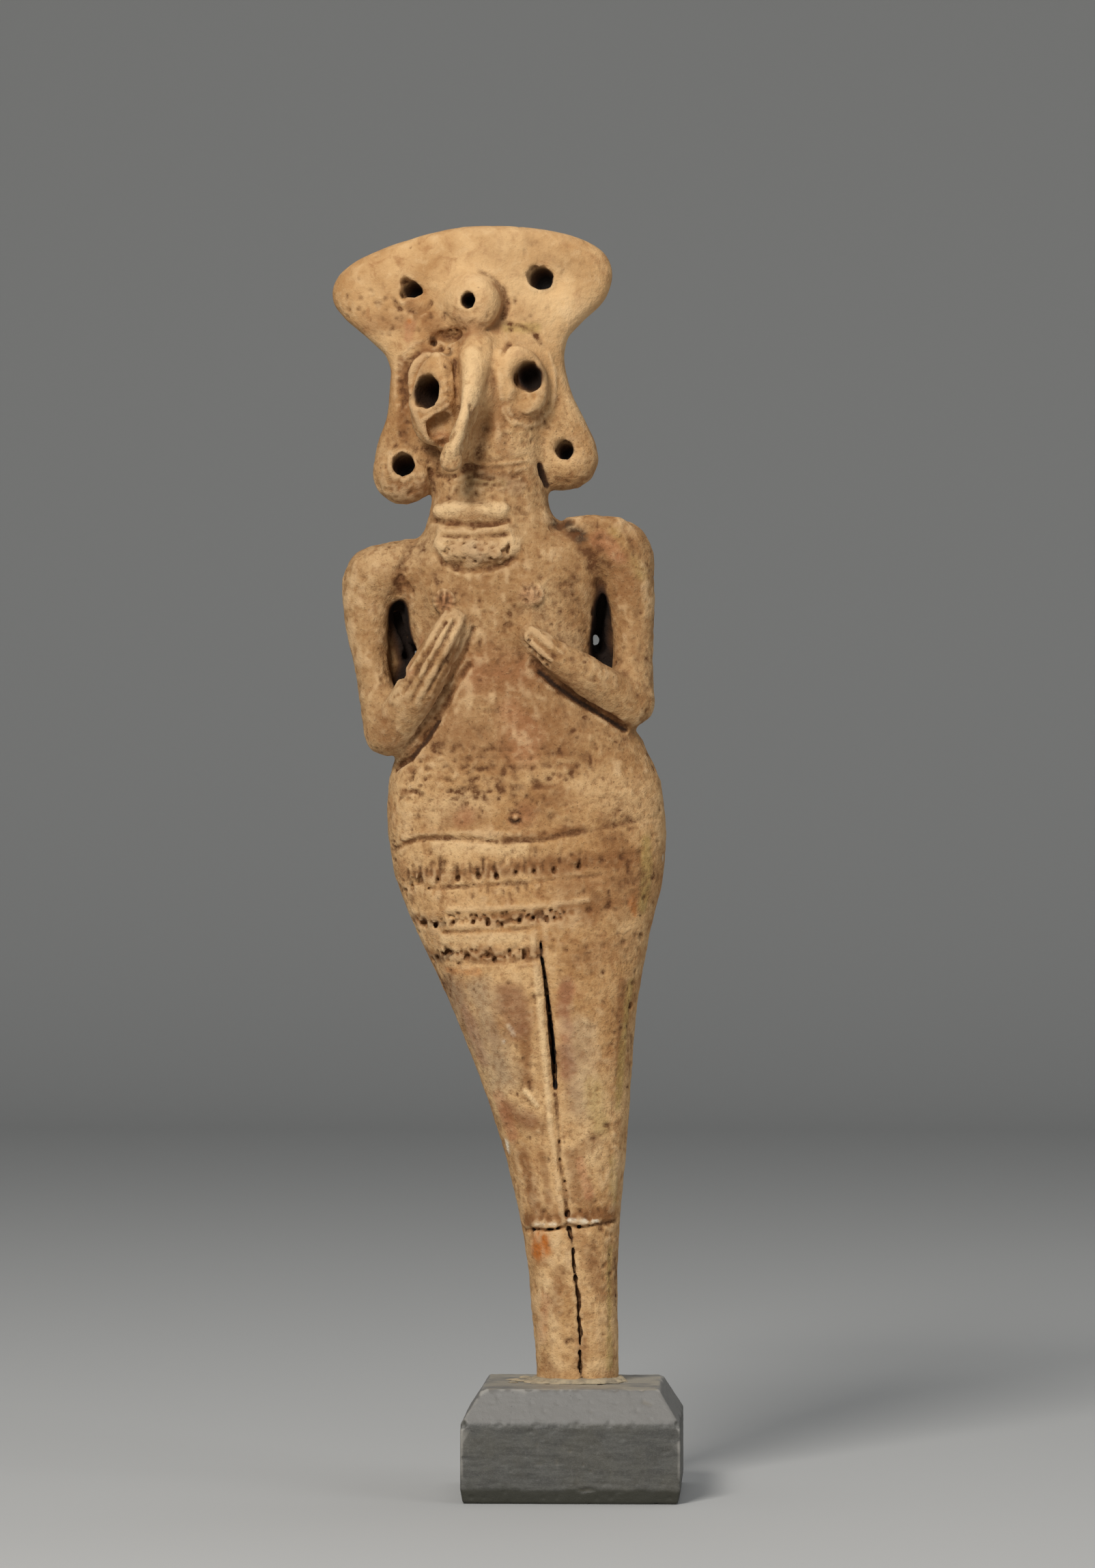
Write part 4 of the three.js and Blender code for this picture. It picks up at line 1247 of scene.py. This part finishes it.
def fired_skin(points):
    """The unevenness of hand-smoothed, fired and weathered clay, as a lift off the skin."""
    height = points[:, 2]
    below_head = 1 - ramp(height, *CHIN)
    legs_only = 1 - ramp(height, *THIGHS)
    rough = 0.4 + 0.6 * below_head
    lift = 0.10 * noise(points, 6.5, seed=11, octaves=2)
    lift += 0.075 * noise(points, 1.9, seed=21, octaves=2) * (0.5 + 0.5 * below_head)
    lift += 0.055 * noise(points, 0.8, seed=31) * rough
    lift -= 0.12 * ramp(noise(points, 0.85, seed=41), 0.5, 0.85) * rough
    lift += 0.05 * noise(points * (1, 1, 0.14), 0.9, seed=51) * legs_only
    trunk = ramp(height, *HIPS) * below_head
    lift += 0.11 * noise(points * (1, 1, 0.6), 1.0, seed=55, octaves=2) * trunk
    return lift


def face_first(points):
    """Spares the front, the sides and the holes' far ends when the mesh is thinned."""
    kept = clay.outward(points)[:, 1] < 0.3
    for place in ways_out:
        kept |= np.linalg.norm(points - place, axis=1) < WAY_OUT_REACH
    return np.where(kept, SPARED, 0.0)


figurine = clay.mesh("figurine_clay", FIGURE_TRIANGLES, relief=fired_skin, guard=face_first)
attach(figurine, "root")
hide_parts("figurine")

# What the skin keeps: how hollow it is, its painted shade, and its stains, some of them painted shade and
# highlight

def hollowness(body, points, spread, step):
    """How far each point lies in a hollow of the given width in millimetres, below zero on an edge."""
    coarse = body.field[::step, ::step, ::step]
    soft = averaged(coarse, spread / (body.cell * step))
    return -body.at(points, soft, step) / spread


def away_from(points, line):
    """How far points lie from a line through other points."""
    distance, _, _ = thread(np.concatenate([line, line[-1:] + 1e-4]), 0.0)
    return distance(*points.T)


def dapple(points, patches, seed):
    """Stains with ragged edges, some of them painted shade and some painted highlight. Each patch is its
    pixels, its radius in pixels and its strength.
    """
    total = np.zeros(len(points))
    ragged = noise(points, 2.8, seed=seed, octaves=3)
    for places, radius, strength in patches:
        away = away_from(points, clay.skins(places)) / pixels(radius)
        blur = max(0, radius - 16) / 60
        total = np.maximum(total, strength * ramp(away + 0.6 * ragged, 1.2 + blur, 0.3 - blur))
    return total


# Each stain's patches, by the stretch of the figure they lie on: pixels, radius in pixels, strength. Some
# patches are painted shade and highlight, as marked.
STAINED = {
    # lighter clay; a painted highlight on the choker's top roll, the nose's ridge and the beak's tip
    "straw_and_highlight": {
        "head": [
            ([(740, 390), (800, 440)], 70, 0.4), ([(690, 515), (690, 570), (682, 610)], 16, 0.6),
            ([(676, 640), (655, 672)], 12, 0.5),
        ],
        "neck, chest and arms": [
            ([(640, 747), (738, 744)], 11, 0.8), ([(640, 800), (745, 800)], 16, 0.5),
            ([(560, 810), (620, 800)], 36, 0.3), ([(648, 930), (690, 925)], 22, 0.5),
            ([(790, 880), (830, 940)], 30, 0.4),
        ],
        "waist": [
            ([(590, 1095), (650, 1000)], 14, 0.45), ([(690, 1185), (640, 1195)], 30, 0.4),
            ([(880, 1160), (940, 1180)], 36, 0.3),
        ],
        "belts": [
            ([(640, 1240), (760, 1240)], 14, 0.5), ([(650, 1375), (760, 1372)], 9, 0.7),
            ([(786, 1420), (800, 1560), (806, 1650)], 8, 0.8),
        ],
        "thighs": [
            ([(720, 1560), (726, 1600)], 36, 0.4), ([(860, 1590), (870, 1690)], 26, 0.5),
            ([(770, 1598), (786, 1617)], 6, 0.9),
        ],
        "shins": [
            ([(812, 2000), (890, 2000)], 14, 0.5), ([(800, 1880), (812, 1960)], 14, 0.4),
        ],
    },
    # brown stains, and painted shade on the beak's left flank, the knob's left side, the groove over the
    # right eye, under the right ear, under the choker's top roll, under the left forearm and along the left
    # thigh's edge
    "umber_and_shade": {
        "head": [
            ([(540, 480), (590, 470)], 26, 0.5), ([(600, 450), (640, 480)], 16, 0.5),
            ([(592, 530), (592, 640)], 12, 0.8), ([(606, 523), (640, 508)], 8, 0.8),
            ([(728, 420), (738, 445), (722, 478)], 12, 0.7), ([(640, 490), (680, 492)], 14, 0.7),
            ([(720, 560), (728, 620), (738, 660)], 16, 0.5),
            ([(696, 604), (692, 640), (686, 664)], 10, 0.95), ([(738, 514), (746, 503)], 6, 0.6),
            ([(745, 604), (790, 618)], 10, 0.45), ([(580, 716), (620, 712)], 18, 0.7),
            ([(700, 690), (770, 700)], 22, 0.6),
        ],
        "neck, chest and arms": [
            ([(655, 768), (740, 768)], 5, 0.8), ([(660, 800), (735, 806)], 14, 0.5),
            ([(830, 775), (870, 810)], 20, 0.6), ([(900, 830), (920, 870)], 22, 0.5),
            ([(585, 850), (600, 880)], 14, 0.5), ([(700, 980), (760, 1000), (800, 1060)], 56, 0.6),
            ([(660, 1060), (740, 1090)], 46, 0.6), ([(790, 990), (900, 1052)], 12, 0.8),
            ([(560, 1060), (575, 1090)], 22, 0.5),
        ],
        "waist": [
            ([(600, 1100), (670, 1010)], 12, 0.6), ([(620, 1108), (830, 1102)], 7, 0.6),
            ([(600, 1128), (840, 1122)], 7, 0.7), ([(590, 1160), (810, 1152)], 7, 0.8),
            ([(660, 1200), (700, 1200)], 20, 0.5), ([(770, 1180), (820, 1160)], 24, 0.5),
        ],
        "belts": [
            ([(590, 1232), (728, 1232)], 4, 0.8), ([(738, 1230), (850, 1216)], 9, 0.7),
            ([(612, 1280), (700, 1276), (790, 1270)], 13, 0.85),
            ([(790, 1270), (860, 1262), (930, 1256)], 20, 0.8),
            ([(610, 1348), (720, 1347), (820, 1340)], 12, 0.85),
            ([(820, 1336), (900, 1322), (945, 1310)], 22, 0.75),
            ([(632, 1398), (700, 1400), (790, 1396)], 13, 0.85), ([(830, 1300), (920, 1290)], 36, 0.6),
            ([(850, 1400), (920, 1380)], 26, 0.5), ([(900, 1230), (905, 1340)], 26, 0.5),
        ],
        "thighs": [
            ([(664, 1450), (680, 1500)], 18, 0.5), ([(768, 1510), (772, 1580)], 12, 0.8),
            ([(742, 1630), (780, 1650)], 20, 0.8), ([(766, 1690), (784, 1770)], 12, 0.8),
            ([(795, 1690), (804, 1760)], 7, 0.6), ([(835, 1690), (848, 1750)], 12, 0.7),
            ([(912, 1440), (905, 1590)], 10, 0.7), ([(845, 1690), (870, 1670)], 14, 0.5),
            ([(835, 1750), (860, 1760)], 14, 0.6),
        ],
        "shins": [
            ([(772, 1786), (850, 1780), (895, 1778)], 16, 0.9), ([(820, 1860), (815, 1920)], 12, 0.5),
            ([(862, 1830), (880, 1900)], 14, 0.5), ([(850, 1960), (850, 2010)], 10, 0.6),
            ([(795, 1985), (812, 2012)], 10, 0.5),
        ],
    },
    "rose": {
        "head": [
            ([(602, 475), (598, 495)], 9, 0.42), ([(640, 630), (655, 645)], 13, 0.34),
        ],
        "neck, chest and arms": [
            ([(880, 790), (905, 810)], 16, 0.42), ([(700, 990), (760, 985)], 34, 0.26),
            ([(750, 1050), (770, 1090)], 30, 0.34), ([(650, 880)], 18, 0.42), ([(779, 870)], 18, 0.42),
            ([(618, 940), (600, 985)], 10, 0.4),
        ],
        "waist": [
            ([(680, 1195)], 18, 0.34), ([(765, 1195)], 22, 0.34),
        ],
        "thighs": [
            ([(828, 1450), (832, 1570)], 14, 0.6), ([(680, 1475), (705, 1550)], 13, 0.6),
            ([(730, 1610), (750, 1660)], 14, 0.5), ([(850, 1700), (862, 1750)], 8, 0.5),
        ],
        "shins": [
            ([(800, 1900), (795, 1960)], 12, 0.34),
        ],
    },
    "plum": {
        "head": [
            ([(700, 480), (680, 470)], 20, 0.3),
        ],
        "thighs": [
            ([(748, 1462), (764, 1504)], 22, 0.75), ([(830, 1440), (826, 1500)], 12, 0.6),
            ([(826, 1540), (838, 1600)], 16, 0.6), ([(745, 1620), (775, 1640)], 14, 0.5),
        ],
    },
    "ash": {
        "head": [
            ([(705, 700), (760, 712)], 14, 0.25),
        ],
        "neck, chest and arms": [
            ([(690, 800), (700, 815)], 16, 0.4),
        ],
        "thighs": [
            ([(660, 1440), (716, 1550)], 30, 0.6), ([(700, 1450), (736, 1580)], 26, 0.6),
            ([(850, 1510), (850, 1620)], 26, 0.45),
        ],
    },
    # olive tint on the neck and over the left eye; painted shade on the left shoulder, hip, thigh and shin
    # edges
    "olive_and_edge_shade": {
        "head": [
            ([(690, 702), (735, 706)], 11, 0.25), ([(742, 480), (786, 480)], 9, 0.6),
        ],
        "neck, chest and arms": [
            ([(900, 780), (940, 840)], 12, 0.4),
        ],
        "belts": [
            ([(948, 1230), (942, 1330)], 12, 0.7),
        ],
        "thighs": [
            ([(925, 1440), (905, 1620)], 10, 0.7), ([(898, 1700), (900, 1760)], 10, 0.7),
            ([(870, 1590), (878, 1650)], 18, 0.5),
        ],
        "shins": [
            ([(893, 1830), (893, 2000)], 8, 0.7),
        ],
    },
    "rust": {
        "head": [
            ([(600, 470)], 6, 0.6),
        ],
        "belts": [
            ([(655, 1420), (700, 1424)], 7, 0.4), ([(925, 1320), (930, 1340)], 8, 0.5),
        ],
        "shins": [
            ([(788, 1814), (798, 1814), (798, 1830), (788, 1830)], 16, 1.0),
        ],
    },
    # painted shade in the notch by the left ear, the pits under the knob, the cleft above the left shoulder
    # and the deepest belt pricks
    "painted_dark_shade": {
        "head": [
            ([(790, 684), (800, 708)], 8, 0.7), ([(634, 496), (656, 514)], 8, 0.7),
        ],
        "neck, chest and arms": [
            ([(812, 768), (830, 764), (850, 786)], 13, 0.9),
        ],
        "belts": [
            ([(660, 1396), (640, 1404)], 9, 0.7), ([(620, 1352), (650, 1353)], 8, 0.7),
        ],
    },
    "lime": {
        "belts": [
            ([(972, 1256)], 7, 0.8),
        ],
        "thighs": [
            ([(742, 1672), (745, 1686)], 6, 0.9), ([(738, 1525)], 4, 0.6),
            ([(745, 1502), (752, 1515)], 5, 0.35),
        ],
        "shins": [
            ([(784, 1792), (812, 1793)], 3.5, 1.0), ([(834, 1787), (858, 1789)], 4.5, 1.0),
            ([(868, 1789), (875, 1788)], 3, 0.9),
        ],
    },
}


def dress_figurine():
    """Paints the clay's hollows, its painted shade, worn edges, weathering and stains, some of the stains
    being painted shade and highlight.
    """
    points = vertices_of(figurine)
    fine = hollowness(clay, points, 0.35, 1)
    middle = hollowness(clay, points, 0.9, 2)
    broad = hollowness(clay, points, 2.2, 4)
    lift = fired_skin(points)
    paint(figurine, "hollow", 0.9 * ramp(fine, 0.04, 0.6) + 0.6 * ramp(middle, 0.08, 0.8)
          + 0.35 * ramp(-lift, 0.05, 0.22))
    # painted shade: dark where the skin lies deep in a hollow, and darker still near the lines where light
    # hardly reaches
    painted_shade = 0.9 * ramp(middle, 0.55, 1.0) + 0.25 * ramp(broad, 0.6, 1.1)
    facing_front = ramp(clay.outward(points)[:, 1], 0.6, 0.0)
    for places, shown in ((painted_shade_lines, np.ones(len(points))), (painted_shade_lines_in_front, facing_front)):
        for line, radius, strength in places:
            low, high = line.min(0) - radius, line.max(0) + radius
            near = np.flatnonzero(((points > low) & (points < high)).all(1))
            dark = ramp(away_from(points[near], line), radius, radius * 0.45) * shown[near]
            painted_shade[near] = np.maximum(painted_shade[near], DARKEST * strength * dark)
    paint(figurine, "painted_shade", painted_shade)
    paint(figurine, "edge", ramp(-fine, 0.05, 0.35) + 0.25 * ramp(lift, 0.08, 0.25))
    height = points[:, 2]
    trunk = ramp(height, *WAIST) * (1 - ramp(height, *NECK))
    face = ramp(height, *NECK) * (1 - ramp(height, *BROW))
    belt = ramp(height, *BELT) * (1 - ramp(height, *WAIST))
    paint(figurine, "dusky", trunk + 0.4 * face + 0.3 * belt)
    below_crest = 1 - ramp(height, *CREST)
    paint(figurine, "weathered", 0.2 + 0.7 * below_crest + 0.25 * noise(points, 9, seed=61))
    # the stains, some of them painted shade and highlight
    for seed, (name, stretches) in enumerate(STAINED.items(), 70):
        patches = sum(stretches.values(), [])
        paint(figurine, name, dapple(points, patches, seed))
    figurine.data.materials.append(fired_clay())


dress_figurine()

# The block

BLOCK_CELL = 0.2
BLOCK_TRIANGLES = 120000
SHOULDER_BASE = 10.8
FLAKES = 110

block = Clay("plinth", BLOCK_CELL)


def worn_block():
    """Rubs the block's arrises down and knocks small flakes off them."""
    block.field = averaged(block.field, 0.8)
    low, high = block.box
    sides = ((0, low[1]), (0, high[1]), (1, low[0]), (1, high[0]))
    for _ in range(FLAKES):
        across, edge = sides[chance.integers(4)]
        place = np.zeros(3)
        place[across] = chance.uniform(low[across], high[across])
        place[1 - across] = edge
        place[2] = chance.choice([SHOULDER_BASE, SHOULDER_BASE, SHOULDER_BASE, 2.0, 0.2])
        if chance.uniform() < 0.3:
            place[2] = BLOCK_TOP
            place[:2] *= 0.8
        size = np.full(3, chance.uniform(0.1, 0.28))
        size[0 if across == 0 else 2] *= chance.uniform(1, 3)
        block.cut(ball(place, size, turn=chance.uniform(-20, 20)), soft=0.3)
    for corner in np.ndindex(2, 2):
        place = np.array([(low, high)[corner[0]][0], (low, high)[corner[1]][1], SHOULDER_BASE + 0.2])
        block.cut(ball(place, chance.uniform(0.5, 0.9, 3)), soft=0.2)


def ground_skin(points):
    """Level grinding marks on a slightly uneven stone."""
    lift = 0.14 * noise(points, 6.0, seed=101, octaves=2)
    lift += 0.03 * noise(points * (0.12, 0.12, 1), 0.6, seed=111, octaves=2)
    lift += 0.025 * noise(points, 0.7, seed=115)
    lift -= 0.09 * ramp(noise(points, 0.9, seed=121), 0.45, 0.8)
    return lift


def dress_block():
    """Paints the block's worn arrises, a painted highlight on its upward slope, dust on its top, and a band
    of painted shade round its bottom.
    """
    points = vertices_of(plinth)
    upward = block.outward(points, 0.6)[:, 2]
    fringe = 0.25 * noise(points, 1.6, seed=125, octaves=2)
    patchy = ramp(noise(points, 3.0, seed=127, octaves=3), -0.5, 0.2)
    worn = ramp(-hollowness(block, points, 0.4, 1) + 0.4 * fringe, 0.16, 0.42)
    paint(plinth, "hollow", ramp(hollowness(block, points, 0.6, 1), 0.1, 0.5))
    paint(plinth, "edge", worn * ramp(points[:, 2], 2.5, 6.0))
    # painted highlight where the bevel faces up
    paint(plinth, "slope", ramp(upward, 0.25, 0.5))
    paint(plinth, "dusty", ramp(upward, 0.85, 0.97) * patchy)
    # painted shade: a dark band along the bottom
    paint(plinth, "foot_shade", ramp(points[:, 2] + fringe, 2.3, 1.7))
    plinth.data.materials.append(dark_stone())


worn_block()
plinth = block.mesh("stone_block", BLOCK_TRIANGLES, relief=ground_skin)
dress_block()
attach(plinth, "root")
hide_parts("plinth")

# The putty

PUTTY_CELL = 0.12
PUTTY_TRIANGLES = 60000
PUTTY_CRUMBS = 70
FEET = (0.2, 1.6)              # the middle of the ankles

collar = Clay("foot_putty", PUTTY_CELL, margin=1.5, depth=3.0)


def round_the_feet(height, count):
    """Points on the figurine's skin at one height, all the way round, and the ways out from it."""
    turns = np.linspace(0, 2 * math.pi, count, endpoint=False)
    out = np.stack([np.cos(turns), np.sin(turns), 0 * turns], axis=1)
    starts = np.array([*FEET, height]) + 14 * out
    return starts - clay.met(clay.field, starts, -out, 14)[:, None] * out, out


def press_putty():
    """Thin uneven putty, pressed against the feet and smeared over the block on the figure's right."""
    collar.field[:] = np.minimum(collar.field + 0.5, 3.0)
    spots, out = round_the_feet(BLOCK_TOP + 0.5, 72)
    uneven = noise(spots, 2.4, seed=151, octaves=2)
    for reach, girth in ((0.0, 0.62), (0.4, 0.34)):
        ring = spots + out * (reach + 0.3 * uneven[:, None])
        ring[:, 2] = BLOCK_TOP + 0.05
        thick = np.maximum(girth + 0.25 * uneven, 0.15)
        collar.add(thread(np.concatenate([ring, ring[:1]]), np.append(thick, thick[0])), soft=0.4)
    for _ in range(PUTTY_CRUMBS):
        i = chance.integers(len(spots))
        rightness = max(0.0, -out[i][0])
        place = spots[i] + out[i] * chance.uniform(0.1, 0.7 + 3.4 * rightness**2)
        place[2] = BLOCK_TOP
        long, wide, tall = chance.uniform(0.4, 1.3), chance.uniform(0.3, 0.7), chance.uniform(0.10, 0.26)
        collar.add(ball(place, (long, tall, wide)), soft=0.3)
    below = BLOCK_TOP - 0.12 - collar.axis(2)
    collar.field = np.maximum(collar.field, below)


def pressed_skin(points):
    lift = 0.12 * noise(points, 1.3, seed=131, octaves=3)
    lift -= 0.08 * ramp(noise(points, 0.7, seed=141), 0.4, 0.8)
    return lift * ramp(points[:, 2], BLOCK_TOP - 0.05, BLOCK_TOP + 0.1)


press_putty()
putty = collar.mesh("putty_collar", PUTTY_TRIANGLES, relief=pressed_skin)
paint(putty, "hollow", ramp(hollowness(collar, vertices_of(putty), 0.5, 1), 0.05, 0.5))
putty.data.materials.append(pale_putty())
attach(putty, "root")
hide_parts("foot_putty")

# Stage, light and camera, in metres

AIMED_AT = Vector((0, 0, 0.10))


def light(name, place, size, power, tint=(1, 1, 1)):
    """A square soft light aimed at the figure's waist."""
    lamp = bpy.data.lights.new(name, "AREA")
    lamp.energy = power
    lamp.size = size
    lamp.color = tint
    holder = bpy.data.objects.new(name, lamp)
    bpy.context.scene.collection.objects.link(holder)
    holder.location = place
    holder.rotation_euler = (AIMED_AT - Vector(place)).to_track_quat("-Z", "Y").to_euler()


def floor():
    """A pale floor that curves up into its backdrop, which is far enough back to walk round the figure."""
    near, far, bend, top, half = -1.7, 0.95, 0.3, 1.7, 1.9
    profile = [(near, 0.0), (far, 0.0)]
    profile += [
        (far + bend * math.sin(t), bend - bend * math.cos(t)) for t in np.linspace(0, math.pi / 2, 17)[1:]
    ]
    profile.append((far + bend, top))
    points = [(x, y, z) for y, z in profile for x in (-half, half)]
    faces = [(2 * i, 2 * i + 1, 2 * i + 3, 2 * i + 2) for i in range(len(profile) - 1)]
    mesh = bpy.data.meshes.new("floor")
    mesh.from_pydata(points, [], faces)
    for polygon in mesh.polygons:
        polygon.use_smooth = True
    sweep = bpy.data.objects.new("floor", mesh)
    bpy.context.scene.collection.objects.link(sweep)
    paper, _, shader = new_material("pale_paper", 0.9)
    shader.inputs["Base Color"].default_value = (0.45, 0.45, 0.44, 1)
    mesh.materials.append(paper)


floor()
light("key", (-0.26, -0.70, 0.58), size=0.24, power=7.0, tint=(1.0, 0.97, 0.93))
light("fill", (0.75, -0.5, 0.35), size=0.5, power=1.7, tint=(0.96, 0.98, 1.0))
light("top", (0.05, 0.15, 0.8), size=0.5, power=1.4)

world = bpy.data.worlds.new("studio")
world.use_nodes = True
world.node_tree.nodes["Background"].inputs["Color"].default_value = (0.8, 0.85, 0.9, 1)
world.node_tree.nodes["Background"].inputs["Strength"].default_value = 0.18
bpy.context.scene.world = world
bpy.context.scene.view_settings.view_transform = "Standard"

lens = bpy.data.cameras.new("camera")
lens.sensor_fit = "AUTO"
lens.sensor_width = SENSOR
lens.lens = SENSOR * VIEW_DISTANCE / (PHOTO[1] * PIXEL)
lens.clip_start, lens.clip_end = 0.05, 10
camera = bpy.data.objects.new("camera", lens)
bpy.context.scene.collection.objects.link(camera)
camera.location = Vector(EYE * METRES)
camera.rotation_euler = Vector(-BACK).to_track_quat("-Z", "Y").to_euler()
bpy.context.scene.camera = camera
